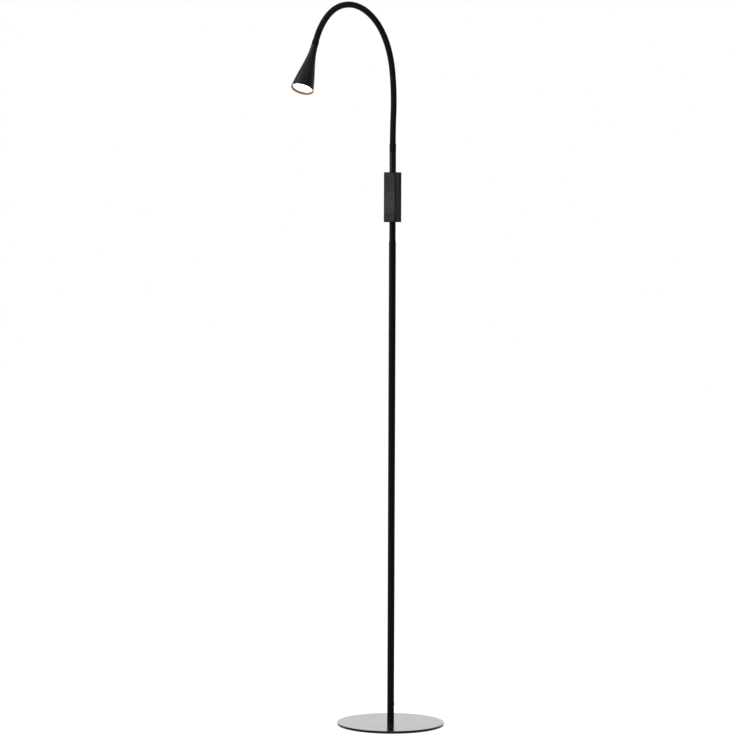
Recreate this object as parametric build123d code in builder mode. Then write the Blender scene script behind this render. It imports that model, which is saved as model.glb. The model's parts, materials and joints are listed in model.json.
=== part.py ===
from build123d import *
from math import cos, radians, sin
import os

# Gooseneck reading floor lamp.
# Millimetres, +Z up.  The origin is on the floor, under the centre of the round base.
# The neck bends over towards -Y, and the push button is on the -Y side of the switch housing.

# ---- Base ----
BASE_DIAMETER = 195.0
BASE_THICKNESS = 4.5
BASE_EDGE = 0.4
PAD_THICKNESS = 0.8
PAD_INSET = 3.0
FOOT_SCREW_DIAMETER = 6.0
FOOT_SCREW_HEAD = 12.0
FOOT_SCREW_LENGTH = 18.0
FOOT_SCREW_SOCKET = 4.0
FOOT_SCREW_SOCKET_DEPTH = 2.4

# ---- Pole, in two equal sections ----
POLE_DIAMETER = 12.7
POLE_WALL = 1.0
SECTION_LENGTH = 437.5
INSERT_LENGTH = 16.0
COUPLING_THREAD = 8.0
COUPLING_REACH = 13.0
LEAD_PASSAGE = 5.2

# ---- Power inlet, low on the back of the pole ----
INLET_HEIGHT = 32.0
INLET_BODY_DIAMETER = 6.4
INLET_BODY_LENGTH = 10.2
INLET_FLANGE_DIAMETER = 8.0
INLET_FLANGE_THICKNESS = 0.9
INLET_FLANGE_EDGE = 0.3
INLET_BORE_DIAMETER = 3.5
INLET_BORE_DEPTH = 10.2
LUG_WIDTH = 1.2
LUG_THICKNESS = 0.5
LUG_HEIGHT = 3.0

# ---- Short tube between the pole and the switch housing ----
STUB_DIAMETER = 11.6
STUB_WALL = 1.2
STUB_EXPOSED = 35.0

# ---- Switch housing ----
HOUSING_WIDTH = 23.8
HOUSING_HEIGHT = 90.0
HOUSING_WALL = 1.6
HOUSING_CORNER = 1.2
HOUSING_INNER_CORNER = 0.5
CAP_THICKNESS = 1.5
CAP_BOSS_LENGTH = 12.0
CAP_BOSS_DIAMETER = 16.4
SCREW_BOSS_INSET = 1.9
SCREW_BOSS_RADIUS = 2.3
CAP_SCREW_DIAMETER = 2.2
CAP_SCREW_HEAD = 4.0
CAP_SCREW_LENGTH = 8.0
TUBE_INSERTION = 13.0
GRUB_DIAMETER = 4.0
GRUB_FROM_END = 8.3
GRUB_RECESS = 0.6
GRUB_SOCKET = 2.0
GRUB_SOCKET_DEPTH = 1.8

# ---- Push button, switch and indicator ----
BUTTON_DIAMETER = 6.8
BUTTON_PROUD = 1.1
BUTTON_FLANGE_DIAMETER = 9.0
BUTTON_FLANGE_THICKNESS = 0.8
BUTTON_TRAVEL = 1.2
BUTTON_EDGE = 0.3
BEZEL_DIAMETER = 9.6
BEZEL_PROUD = 0.5
BEZEL_WALL = 0.8
SWITCH_WIDTH = 7.0
SWITCH_THICKNESS = 1.95
PLUNGER_DIAMETER = 2.6
PLUNGER_INSERTION = 0.4
INDICATOR_DROP = 22.0
INDICATOR_DIAMETER = 4.5
INDICATOR_FLANGE = 5.6
INDICATOR_FLANGE_THICKNESS = 0.6
INDICATOR_PROUD = 0.15
INDICATOR_STEM = 3.0
INDICATOR_LED_SIZE = 1.6
INDICATOR_LED_HEIGHT = 0.8

# ---- Driver board ----
BOARD_THICKNESS = 1.2
RAIL_WIDTH = 1.3
RAIL_THICKNESS = 1.0
TERMINAL_WIDTH = 8.0
TERMINAL_HEIGHT = 8.0
TERMINAL_DEPTH = 6.0
TERMINAL_FROM_END = 1.5
INDUCTOR_DIAMETER = 9.0
INDUCTOR_DEPTH = 6.0
INDUCTOR_EDGE = 0.4
INDUCTOR_RISE = 6.5
CAPACITOR_DIAMETER = 6.3
CAPACITOR_DEPTH = 10.0
CAPACITOR_DROP = 8.5
CHIP_LENGTH = 5.0
CHIP_HEIGHT = 1.5
CHIP_RISE = 15.0

# ---- Neck tube above the housing ----
NECK_TUBE_DIAMETER = 12.0
NECK_TUBE_WALL = 1.2
NECK_TUBE_EXPOSED = 36.0

# ---- Gooseneck: a wound steel core in a soft sleeve ----
# The centre line is made of equal cells; each pair is (how many cells, degrees each one turns forward).
CELL_LENGTH = 26.1
NECK_STRETCHES = ((2, -2.1), (3, 5.2), (4, 11.6), (5, 9.3), (4, 12.0))
CORE_DIAMETER = 7.8
CORE_BORE = 5.0
CORE_GAP = 2.0
SLEEVE_WALL = 1.0
FERRULE_WALL = 0.95
FERRULE_FLANGE = 1.0
FERRULE_REACH = 14.0
FERRULE_SPIGOT = 14.0
CORE_SEAT = 2.0
CUFF_WALL = 0.8
CUFF_LENGTH = 16.3
CUFF_TAPER = 3.3
LEAD_DIAMETER = 1.5
LEAD_SPACING = 2.6

# ---- Lamp head, measured along its own axis from the end of the neck's last cell ----
HEAD_LENGTH = 98.0
HEAD_START = 12.0
MOUTH_DIAMETER = 39.2
HEAD_FLARE = 0.8
HEAD_WALL = 1.5
HEAD_LEDGE = 0.6
WALL_STEPS = 6
HEAD_THREAD = 8.0
HEAD_THREAD_LENGTH = 9.0
HEAD_SOLID = 13.0
MOUTH_LIP = 0.9
DIFFUSER_RECESS = 4.0
DIFFUSER_THICKNESS = 1.5
DIFFUSER_RING_WIDTH = 1.0
DIFFUSER_RING_HEIGHT = 1.0
REFLECTOR_DEPTH = 10.4
REFLECTOR_THROAT = 13.6
REFLECTOR_MOUTH_WALL = 1.4
REFLECTOR_THICKNESS = 0.8
LED_CHIP_DIAMETER = 11.0
LED_CHIP_HEIGHT = 1.0
LED_BOARD_DIAMETER = 28.0
LED_BOARD_THICKNESS = 1.6
LED_SCREW_CIRCLE = 22.8
LED_SCREW_DIAMETER = 2.5
LED_SCREW_HEAD = 4.4
LED_SCREW_HEAD_HEIGHT = 1.2
LED_SCREW_SOCKET = 2.0
LED_SCREW_SOCKET_DEPTH = 0.6
LED_SCREW_LENGTH = 5.0
SINK_PLATE = 4.0
SINK_FINS = 8
SINK_FIN_THICKNESS = 1.2
SINK_FIN_HEIGHT = 24.0
SINK_HUB_DIAMETER = 9.0
SINK_FIN_GAP = 0.5

# ---- Clearances, radial or face to face ----
PRESS_GAP = 0.02
THREAD_GAP = 0.05
SLIDE_GAP = 0.08
SEAT_GAP = 0.1
LOOSE_GAP = 0.2
MATING_GAP = 0.3

# ---- Levels above the floor ----
base_top = PAD_THICKNESS + BASE_THICKNESS
lower_top = base_top + SECTION_LENGTH
upper_top = lower_top + SECTION_LENGTH
housing_bottom = upper_top + STUB_EXPOSED
housing_top = housing_bottom + HOUSING_HEIGHT
housing_middle = (housing_bottom + housing_top) / 2
neck_tube_top = housing_top + NECK_TUBE_EXPOSED
ferrule_collar = neck_tube_top + FERRULE_FLANGE
neck_start = ferrule_collar + CUFF_LENGTH

# ---- Radii and planes that several pieces share ----
pole_radius = POLE_DIAMETER / 2
pole_bore = pole_radius - POLE_WALL
stub_radius = STUB_DIAMETER / 2
stub_bore = stub_radius - STUB_WALL
neck_tube_radius = NECK_TUBE_DIAMETER / 2
neck_tube_bore = neck_tube_radius - NECK_TUBE_WALL
housing_half = HOUSING_WIDTH / 2
housing_inside = housing_half - HOUSING_WALL
boss_offset = housing_inside - SCREW_BOSS_INSET
body_bottom = housing_bottom + CAP_THICKNESS
body_height = HOUSING_HEIGHT - 2 * CAP_THICKNESS
# The neck is sized from its core outwards, and the head starts at the cuff's width.
core_radius = CORE_DIAMETER / 2
core_bore = CORE_BORE / 2
sleeve_bore = core_radius + MATING_GAP
sleeve_radius = sleeve_bore + SLEEVE_WALL
core_socket = core_radius + THREAD_GAP
ferrule_radius = core_socket + FERRULE_WALL
cuff_bore = ferrule_radius + MATING_GAP
cuff_radius = cuff_bore + CUFF_WALL
front_face = Plane(origin=(0, -housing_half, 0), x_dir=(1, 0, 0), z_dir=(0, -1, 0))
right_face = Plane(origin=(housing_half, 0, 0), x_dir=(0, 1, 0), z_dir=(1, 0, 0))
back_face = Plane(origin=(0, housing_half, 0), x_dir=(-1, 0, 0), z_dir=(0, 1, 0))

os.makedirs("parts", exist_ok=True)


def turn(outline, section=Plane.XZ, axis=Axis.Z, mode=Mode.ADD):
    """Turn a closed outline of (radius, height) points about the axis."""
    with BuildSketch(section) as profile:
        with BuildLine():
            Polyline(*outline, close=True)
        make_face()
    revolve(profile.sketch, axis=axis, mode=mode)


def tube(plane, outer, inner, length):
    """A plain tube that starts on the plane and runs along its normal."""
    with BuildSketch(plane) as section:
        Circle(outer)
        Circle(inner, mode=Mode.SUBTRACT)
    extrude(section.sketch, amount=length)


def bore(plane, radius, length):
    """Cut a round hole that starts on the plane and runs along its normal."""
    with BuildSketch(plane) as section:
        Circle(radius)
    extrude(section.sketch, amount=length, mode=Mode.SUBTRACT)


def box(plane, width, height, depth, corner=0.0):
    """A block, with rounded corners if asked, that starts on the plane and runs along its normal."""
    with BuildSketch(plane) as section:
        if corner:
            RectangleRounded(width, height, corner)
        else:
            Rectangle(width, height)
    extrude(section.sketch, amount=depth)


def hexagon_socket(plane, across_flats, depth):
    """Cut a six-sided key socket into the face that the plane lies on, against its normal."""
    with BuildSketch(plane) as section:
        RegularPolygon(across_flats / 2, 6, major_radius=False)
    extrude(section.sketch, amount=-depth, mode=Mode.SUBTRACT)


def at(plane, x, y, rise=0.0):
    """The same plane, with its origin moved to (x, y) on it and rise along its normal."""
    return Plane(
        origin=plane.from_local_coords((x, y, rise)), x_dir=plane.x_dir, z_dir=plane.z_dir
    )


# ---- Base ----

with BuildPart() as base_pad:
    with BuildSketch():
        Circle(BASE_DIAMETER / 2 - PAD_INSET)
    extrude(amount=PAD_THICKNESS)

base_pad.part.label = "base_pad"
export_step(base_pad.part, "parts/base_pad.step")

head_drop = (FOOT_SCREW_HEAD - FOOT_SCREW_DIAMETER) / 2
screw_hole = FOOT_SCREW_DIAMETER / 2 + LOOSE_GAP

with BuildPart() as base_plate:
    with BuildSketch(Plane.XY.offset(PAD_THICKNESS)):
        Circle(BASE_DIAMETER / 2)
    extrude(amount=BASE_THICKNESS)
    chamfer(base_plate.edges().filter_by(GeomType.CIRCLE), BASE_EDGE)
    turn(
        [
            (0, PAD_THICKNESS),
            (screw_hole + head_drop, PAD_THICKNESS),
            (screw_hole, PAD_THICKNESS + head_drop),
            (screw_hole, base_top),
            (0, base_top),
        ],
        mode=Mode.SUBTRACT,
    )

base_plate.part.label = "base_plate"
export_step(base_plate.part, "parts/base_plate.step")

screw_radius = FOOT_SCREW_DIAMETER / 2
under_face = Plane(origin=(0, 0, PAD_THICKNESS), x_dir=(1, 0, 0), z_dir=(0, 0, -1))

with BuildPart() as base_screw:
    turn(
        [
            (0, PAD_THICKNESS),
            (screw_radius + head_drop, PAD_THICKNESS),
            (screw_radius, PAD_THICKNESS + head_drop),
            (screw_radius, PAD_THICKNESS + FOOT_SCREW_LENGTH),
            (0, PAD_THICKNESS + FOOT_SCREW_LENGTH),
        ]
    )
    hexagon_socket(under_face, FOOT_SCREW_SOCKET, FOOT_SCREW_SOCKET_DEPTH)

base_screw.part.label = "base_screw"
export_step(base_screw.part, "parts/base_screw.step")

# ---- Pole ----

inlet_axis_level = base_top + INLET_HEIGHT
inlet_radius = INLET_BODY_DIAMETER / 2
back_of_pole = Plane(origin=(0, pole_radius, inlet_axis_level), x_dir=(-1, 0, 0), z_dir=(0, 1, 0))

with BuildPart() as lower_pole:
    tube(Plane.XY.offset(base_top), pole_radius, pole_bore, SECTION_LENGTH)
    bore(back_of_pole.offset(-pole_radius), inlet_radius + PRESS_GAP, pole_radius)

lower_pole.part.label = "lower_pole"
export_step(lower_pole.part, "parts/lower_pole.step")

with BuildPart() as upper_pole:
    tube(Plane.XY.offset(lower_top), pole_radius, pole_bore, SECTION_LENGTH)

upper_pole.part.label = "upper_pole"
export_step(upper_pole.part, "parts/upper_pole.step")

with BuildPart() as pole_foot_insert:
    tube(Plane.XY.offset(base_top), pole_bore - PRESS_GAP, screw_radius + THREAD_GAP, INSERT_LENGTH)

pole_foot_insert.part.label = "pole_foot_insert"
export_step(pole_foot_insert.part, "parts/pole_foot_insert.step")

thread_radius = COUPLING_THREAD / 2
passage_radius = LEAD_PASSAGE / 2

# A threaded socket is pressed into the top of each pole section.
with BuildPart() as pole_sockets:
    for level in (lower_top, upper_top):
        tube(
            Plane.XY.offset(level - INSERT_LENGTH),
            pole_bore - PRESS_GAP,
            thread_radius + THREAD_GAP,
            INSERT_LENGTH,
        )

pole_sockets.part.label = "pole_sockets"
export_step(pole_sockets.part, "parts/pole_sockets.step")

# A hollow threaded stud is pressed into the foot of the tube above each socket.
for name, level, seat in (
    ("upper_pole_stud", lower_top, pole_bore),
    ("stub_tube_stud", upper_top, stub_bore),
):
    with BuildPart() as stud:
        tube(Plane.XY.offset(level), seat - PRESS_GAP, passage_radius, INSERT_LENGTH)
        tube(Plane.XY.offset(level - COUPLING_REACH), thread_radius, passage_radius, COUPLING_REACH)
    stud.part.label = name
    export_step(stud.part, f"parts/{name}.step")

# ---- Power inlet ----

lug_bottom = inlet_radius - LUG_THICKNESS
lead_offset = LEAD_SPACING / 2

with BuildPart() as power_inlet:
    with BuildSketch(back_of_pole):
        Circle(INLET_FLANGE_DIAMETER / 2)
    extrude(amount=INLET_FLANGE_THICKNESS)
    fillet(power_inlet.edges().filter_by(GeomType.CIRCLE).group_by(Axis.Y)[-1], INLET_FLANGE_EDGE)
    with BuildSketch(back_of_pole):
        Circle(inlet_radius)
    extrude(amount=-INLET_BODY_LENGTH)
    for side in (-1, 1):
        lug = Plane(
            origin=(side * lead_offset, 0, inlet_axis_level + lug_bottom), x_dir=(1, 0, 0), z_dir=(0, 0, 1)
        )
        box(lug, LUG_WIDTH, LUG_THICKNESS, LUG_THICKNESS + LUG_HEIGHT)
    bore(
        back_of_pole.offset(INLET_FLANGE_THICKNESS - INLET_BORE_DEPTH),
        INLET_BORE_DIAMETER / 2,
        INLET_BORE_DEPTH,
    )

power_inlet.part.label = "power_inlet"
export_step(power_inlet.part, "parts/power_inlet.step")

# ---- Tubes at both ends of the switch housing ----

with BuildPart() as stub_tube:
    tube(Plane.XY.offset(upper_top), stub_radius, stub_bore, STUB_EXPOSED + TUBE_INSERTION)

stub_tube.part.label = "stub_tube"
export_step(stub_tube.part, "parts/stub_tube.step")

with BuildPart() as neck_tube:
    tube(
        Plane.XY.offset(housing_top - TUBE_INSERTION),
        neck_tube_radius,
        neck_tube_bore,
        NECK_TUBE_EXPOSED + TUBE_INSERTION,
    )

neck_tube.part.label = "neck_tube"
export_step(neck_tube.part, "parts/neck_tube.step")

# ---- Switch housing ----

board_front = boss_offset - SCREW_BOSS_RADIUS - SEAT_GAP
board_back = board_front - BOARD_THICKNESS
button_level = housing_middle
indicator_level = button_level - INDICATOR_DROP
bezel_radius = BUTTON_DIAMETER / 2 + SLIDE_GAP + BEZEL_WALL
top_grub_level = housing_top - GRUB_FROM_END
bottom_grub_level = housing_bottom + GRUB_FROM_END
grub_hole = GRUB_DIAMETER / 2 + LOOSE_GAP

with BuildPart() as housing_body:
    with BuildSketch(Plane.XY.offset(body_bottom)):
        RectangleRounded(HOUSING_WIDTH, HOUSING_WIDTH, HOUSING_CORNER)
        RectangleRounded(2 * housing_inside, 2 * housing_inside, HOUSING_INNER_CORNER, mode=Mode.SUBTRACT)
        with GridLocations(2 * boss_offset, 2 * boss_offset, 2, 2):
            Circle(SCREW_BOSS_RADIUS)
        with GridLocations(2 * boss_offset, 2 * boss_offset, 2, 2):
            Circle(CAP_SCREW_DIAMETER / 2 + THREAD_GAP, mode=Mode.SUBTRACT)
        rail_middle = -board_back + SEAT_GAP + RAIL_THICKNESS / 2
        with Locations(
            (housing_inside - RAIL_WIDTH / 2, rail_middle), (RAIL_WIDTH / 2 - housing_inside, rail_middle)
        ):
            Rectangle(RAIL_WIDTH + SEAT_GAP, RAIL_THICKNESS)
    extrude(amount=body_height)
    bore(at(front_face, 0, button_level, -HOUSING_WALL), bezel_radius + PRESS_GAP, HOUSING_WALL)
    bore(
        at(front_face, 0, indicator_level, -HOUSING_WALL), INDICATOR_DIAMETER / 2 + SEAT_GAP, HOUSING_WALL
    )
    bore(at(right_face, 0, top_grub_level, -HOUSING_WALL), grub_hole, HOUSING_WALL)
    bore(at(back_face, 0, bottom_grub_level, -HOUSING_WALL), grub_hole, HOUSING_WALL)

housing_body.part.label = "housing_body"
export_step(housing_body.part, "parts/housing_body.step")

top_plane = Plane(origin=(0, 0, housing_top), x_dir=(1, 0, 0), z_dir=(0, 0, 1))
bottom_plane = Plane(origin=(0, 0, housing_bottom), x_dir=(1, 0, 0), z_dir=(0, 0, -1))
cap_depth = CAP_THICKNESS + CAP_BOSS_LENGTH
cap_screw_radius = CAP_SCREW_DIAMETER / 2
grub_thread = GRUB_DIAMETER / 2 + THREAD_GAP

# Each cap takes one tube in its boss, and a grub screw through the boss holds it.
for name, outside, tube_radius, grub_plane in (
    ("top_end_cap", top_plane, neck_tube_radius, at(right_face, 0, top_grub_level, -housing_half)),
    ("bottom_end_cap", bottom_plane, stub_radius, at(back_face, 0, bottom_grub_level, -housing_half)),
):
    with BuildPart() as end_cap:
        box(outside, HOUSING_WIDTH, HOUSING_WIDTH, -CAP_THICKNESS, HOUSING_CORNER)
        with BuildSketch(outside.offset(-CAP_THICKNESS)):
            Circle(CAP_BOSS_DIAMETER / 2)
        extrude(amount=-CAP_BOSS_LENGTH)
        bore(outside.offset(-cap_depth), tube_radius + THREAD_GAP, cap_depth)
        bore(grub_plane, grub_thread, CAP_BOSS_DIAMETER / 2 + SEAT_GAP)
        with Locations(outside):
            with GridLocations(2 * boss_offset, 2 * boss_offset, 2, 2):
                CounterSinkHole(cap_screw_radius + SEAT_GAP, CAP_SCREW_HEAD / 2 + SEAT_GAP, CAP_THICKNESS)
    end_cap.part.label = name
    export_step(end_cap.part, f"parts/{name}.step")

cap_head_drop = (CAP_SCREW_HEAD - CAP_SCREW_DIAMETER) / 2

with BuildPart() as end_cap_screws:
    for outside in (top_plane, bottom_plane):
        for x in (-boss_offset, boss_offset):
            for y in (-boss_offset, boss_offset):
                place = at(outside, x, y)
                section = Plane(origin=place.origin, x_dir=(1, 0, 0), z_dir=(0, place.z_dir.Z, 0))
                turn(
                    [
                        (0, 0),
                        (CAP_SCREW_HEAD / 2, 0),
                        (cap_screw_radius, cap_head_drop),
                        (cap_screw_radius, CAP_SCREW_LENGTH),
                        (0, CAP_SCREW_LENGTH),
                    ],
                    section=section,
                    axis=Axis(place.origin, place.z_dir),
                )

end_cap_screws.part.label = "end_cap_screws"
export_step(end_cap_screws.part, "parts/end_cap_screws.step")

grub_outer = housing_half - GRUB_RECESS

with BuildPart() as grub_screws:
    for face, level, tube_radius in (
        (right_face, top_grub_level, neck_tube_radius),
        (back_face, bottom_grub_level, stub_radius),
    ):
        outer_end = at(face, 0, level, -GRUB_RECESS)
        with BuildSketch(outer_end):
            Circle(GRUB_DIAMETER / 2)
        extrude(amount=tube_radius + THREAD_GAP - grub_outer)
        hexagon_socket(outer_end, GRUB_SOCKET, GRUB_SOCKET_DEPTH)

grub_screws.part.label = "grub_screws"
export_step(grub_screws.part, "parts/grub_screws.step")

# ---- Push button and its bezel ----
# Depths along front_face's normal are negative inside the housing.

flange_front = -HOUSING_WALL - SEAT_GAP
button_back = flange_front - BUTTON_FLANGE_THICKNESS

with BuildPart() as button_bezel:
    bezel_rim = BUTTON_DIAMETER / 2 + SLIDE_GAP
    tube(at(front_face, 0, button_level), BEZEL_DIAMETER / 2, bezel_rim, BEZEL_PROUD)
    tube(at(front_face, 0, button_level, -HOUSING_WALL), bezel_radius, bezel_rim, HOUSING_WALL)
    fillet(
        button_bezel.edges().filter_by(GeomType.CIRCLE).group_by(Axis.Y)[0].sort_by(SortBy.RADIUS)[-1],
        BEZEL_PROUD / 2,
    )

button_bezel.part.label = "button_bezel"
export_step(button_bezel.part, "parts/button_bezel.step")

with BuildPart() as power_button:
    with BuildSketch(at(front_face, 0, button_level, button_back)):
        Circle(BUTTON_FLANGE_DIAMETER / 2)
    extrude(amount=BUTTON_FLANGE_THICKNESS)
    with BuildSketch(at(front_face, 0, button_level, flange_front)):
        Circle(BUTTON_DIAMETER / 2)
    extrude(amount=BUTTON_PROUD - flange_front)
    fillet(power_button.edges().filter_by(GeomType.CIRCLE).group_by(Axis.Y)[0], BUTTON_EDGE)

power_button.part.label = "power_button"
export_step(power_button.part, "parts/power_button.step")

switch_back = board_front - housing_half
switch_front = switch_back + SWITCH_THICKNESS
plunger_inner = switch_front - PLUNGER_INSERTION
switch_pocket = PLUNGER_INSERTION + BUTTON_TRAVEL + SEAT_GAP

with BuildPart() as push_switch:
    box(at(front_face, 0, button_level, switch_back), SWITCH_WIDTH, SWITCH_WIDTH, SWITCH_THICKNESS)
    bore(
        at(front_face, 0, button_level, switch_front - switch_pocket),
        PLUNGER_DIAMETER / 2 + SLIDE_GAP,
        switch_pocket,
    )

push_switch.part.label = "push_switch"
export_step(push_switch.part, "parts/push_switch.step")

with BuildPart() as switch_plunger:
    with BuildSketch(at(front_face, 0, button_level, plunger_inner)):
        Circle(PLUNGER_DIAMETER / 2)
    extrude(amount=button_back - plunger_inner)

switch_plunger.part.label = "switch_plunger"
export_step(switch_plunger.part, "parts/switch_plunger.step")

# ---- Indicator light ----

led_front = switch_back + INDICATOR_LED_HEIGHT

with BuildPart() as indicator_lens:
    with BuildSketch(at(front_face, 0, indicator_level, -HOUSING_WALL - SEAT_GAP)):
        Circle(INDICATOR_DIAMETER / 2)
    extrude(amount=HOUSING_WALL + SEAT_GAP + INDICATOR_PROUD)
    with BuildSketch(at(front_face, 0, indicator_level, -HOUSING_WALL - SEAT_GAP)):
        Circle(INDICATOR_FLANGE / 2)
    extrude(amount=-INDICATOR_FLANGE_THICKNESS)
    with BuildSketch(at(front_face, 0, indicator_level, led_front + MATING_GAP)):
        Circle(INDICATOR_STEM / 2)
    extrude(amount=-HOUSING_WALL - SEAT_GAP - led_front - MATING_GAP)

indicator_lens.part.label = "indicator_lens"
export_step(indicator_lens.part, "parts/indicator_lens.step")

with BuildPart() as indicator_led:
    box(
        at(front_face, 0, indicator_level, switch_back),
        INDICATOR_LED_SIZE,
        INDICATOR_LED_SIZE,
        INDICATOR_LED_HEIGHT,
    )

indicator_led.part.label = "indicator_led"
export_step(indicator_led.part, "parts/indicator_led.step")

# ---- Driver board and what is soldered to it ----

board_bottom = housing_bottom + cap_depth + MATING_GAP
board_top = housing_top - cap_depth - MATING_GAP
board_height = board_top - board_bottom
board_behind = Plane(origin=(0, -board_back, 0), x_dir=(-1, 0, 0), z_dir=(0, 1, 0))
terminal_levels = (
    board_bottom + TERMINAL_FROM_END + TERMINAL_HEIGHT / 2,
    board_top - TERMINAL_FROM_END - TERMINAL_HEIGHT / 2,
)

with BuildPart() as driver_board:
    box(
        at(board_behind, 0, housing_middle),
        2 * (housing_inside - SEAT_GAP),
        board_height,
        -BOARD_THICKNESS,
    )

driver_board.part.label = "driver_board"
export_step(driver_board.part, "parts/driver_board.step")

with BuildPart() as wire_terminals:
    for level in terminal_levels:
        box(at(board_behind, 0, level), TERMINAL_WIDTH, TERMINAL_HEIGHT, TERMINAL_DEPTH)

wire_terminals.part.label = "wire_terminals"
export_step(wire_terminals.part, "parts/wire_terminals.step")

with BuildPart() as driver_inductor:
    with BuildSketch(at(board_behind, 0, housing_middle + INDUCTOR_RISE)):
        Circle(INDUCTOR_DIAMETER / 2)
    extrude(amount=INDUCTOR_DEPTH)
    chamfer(driver_inductor.faces().sort_by(Axis.Y)[-1].edges(), INDUCTOR_EDGE)

driver_inductor.part.label = "driver_inductor"
export_step(driver_inductor.part, "parts/driver_inductor.step")

with BuildPart() as driver_capacitor:
    with BuildSketch(at(board_behind, 0, housing_middle - CAPACITOR_DROP)):
        Circle(CAPACITOR_DIAMETER / 2)
    extrude(amount=CAPACITOR_DEPTH)

driver_capacitor.part.label = "driver_capacitor"
export_step(driver_capacitor.part, "parts/driver_capacitor.step")

with BuildPart() as driver_chip:
    box(at(front_face, 0, button_level + CHIP_RISE, switch_back), CHIP_LENGTH, CHIP_LENGTH, CHIP_HEIGHT)

driver_chip.part.label = "driver_chip"
export_step(driver_chip.part, "parts/driver_chip.step")

# ---- Leads up the pole, from the inlet's lugs to the lower terminal ----

feed_bottom = inlet_axis_level + lug_bottom + LUG_THICKNESS + LUG_HEIGHT
feed_top = terminal_levels[0] - TERMINAL_HEIGHT / 2

with BuildPart() as feed_leads:
    with BuildSketch(Plane.XY.offset(feed_bottom)):
        with Locations((-lead_offset, 0), (lead_offset, 0)):
            Circle(LEAD_DIAMETER / 2)
    extrude(amount=feed_top - feed_bottom)

feed_leads.part.label = "feed_leads"
export_step(feed_leads.part, "parts/feed_leads.step")

# ---- Gooseneck centre line ----
# A place on it is a point (Y, Z) and a heading in degrees from straight up, growing towards -Y.


def onward(point, heading, length, degrees):
    """The place that an arc of this length and turn leads to."""
    half = radians(degrees / 2)
    chord = length * (sin(half) / half if half else 1.0)
    middle = radians(heading) + half
    return (point[0] - chord * sin(middle), point[1] + chord * cos(middle)), heading + degrees


def draw_stretch(point, heading, length, degrees):
    """Draw that arc, or a straight line where it doesn't turn."""
    if degrees:
        direction = (-sin(radians(heading)), cos(radians(heading)))
        radius = length / radians(abs(degrees))
        JernArc(start=point, tangent=direction, radius=radius, arc_size=degrees)
    else:
        Line(point, onward(point, heading, length, degrees)[0])


def across(point, heading):
    """The plane square to the centre line at a place on it."""
    direction = (0, -sin(radians(heading)), cos(radians(heading)))
    return Plane(origin=(0, point[0], point[1]), x_dir=(1, 0, 0), z_dir=direction)


cell_turns = [degrees for count, degrees in NECK_STRETCHES for _ in range(count)]
cell_places = [((0.0, neck_start), 0.0)]
for degrees in cell_turns:
    cell_places.append(onward(*cell_places[-1], CELL_LENGTH, degrees))
cell_count = len(cell_turns)
neck_end, head_heading = cell_places[-1]
head_plane = across(neck_end, head_heading)
head_axis = Axis(head_plane.origin, head_plane.z_dir)
head_section = Plane(
    origin=head_plane.origin, x_dir=(1, 0, 0), z_dir=Vector(1, 0, 0).cross(head_plane.z_dir)
)
half_link = CELL_LENGTH / 2 - CORE_GAP / 2

# ---- Gooseneck core ----


def first_half(cell):
    """The stretch from a cell's start to the gap at its middle."""
    point, heading = cell_places[cell]
    return point, heading, half_link, cell_turns[cell] * half_link / CELL_LENGTH


def second_half(cell):
    """The stretch from the gap at a cell's middle to the cell's end."""
    share = half_link / CELL_LENGTH
    skipped = CELL_LENGTH - half_link
    point, heading = onward(*cell_places[cell], skipped, cell_turns[cell] * (1 - share))
    return point, heading, half_link, cell_turns[cell] * share


core_foot = ferrule_collar + CORE_SEAT
core_tip_reach = HEAD_START - CORE_SEAT

with BuildPart() as neck_core_root:
    with BuildLine(Plane.YZ) as route:
        Line((0, core_foot), (0, neck_start))
        draw_stretch(*first_half(0))
    with BuildSketch(Plane.XY.offset(core_foot)) as ring:
        Circle(core_radius)
        Circle(core_bore, mode=Mode.SUBTRACT)
    sweep(ring.sketch, path=route.line)

neck_core_root.part.label = "neck_core_root"
export_step(neck_core_root.part, "parts/neck_core_root.step")

for link in range(1, cell_count):
    with BuildPart() as neck_core:
        with BuildLine(Plane.YZ) as route:
            draw_stretch(*second_half(link - 1))
            draw_stretch(*first_half(link))
        with BuildSketch(across(*second_half(link - 1)[:2])) as ring:
            Circle(core_radius)
            Circle(core_bore, mode=Mode.SUBTRACT)
        sweep(ring.sketch, path=route.line)
    neck_core.part.label = f"neck_core_{link:02d}"
    export_step(neck_core.part, f"parts/neck_core_{link:02d}.step")

with BuildPart() as neck_core_tip:
    with BuildLine(Plane.YZ) as route:
        draw_stretch(*second_half(cell_count - 1))
        draw_stretch(neck_end, head_heading, core_tip_reach, 0)
    with BuildSketch(across(*second_half(cell_count - 1)[:2])) as ring:
        Circle(core_radius)
        Circle(core_bore, mode=Mode.SUBTRACT)
    sweep(ring.sketch, path=route.line)

neck_core_tip.part.label = "neck_core_tip"
export_step(neck_core_tip.part, "parts/neck_core_tip.step")

# ---- Ferrules at both ends of the core ----

with BuildPart() as root_ferrule:
    turn(
        [
            (core_bore, neck_tube_top - FERRULE_SPIGOT),
            (neck_tube_bore - THREAD_GAP, neck_tube_top - FERRULE_SPIGOT),
            (neck_tube_bore - THREAD_GAP, neck_tube_top),
            (neck_tube_radius, neck_tube_top),
            (neck_tube_radius, ferrule_collar),
            (ferrule_radius, ferrule_collar),
            (ferrule_radius, ferrule_collar + FERRULE_REACH),
            (core_socket, ferrule_collar + FERRULE_REACH),
            (core_socket, core_foot - SEAT_GAP),
            (core_bore, core_foot - SEAT_GAP),
        ]
    )

root_ferrule.part.label = "root_ferrule"
export_step(root_ferrule.part, "parts/root_ferrule.step")

head_thread = HEAD_THREAD / 2
cuff_taper_end = CUFF_TAPER + SEAT_GAP

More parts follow.
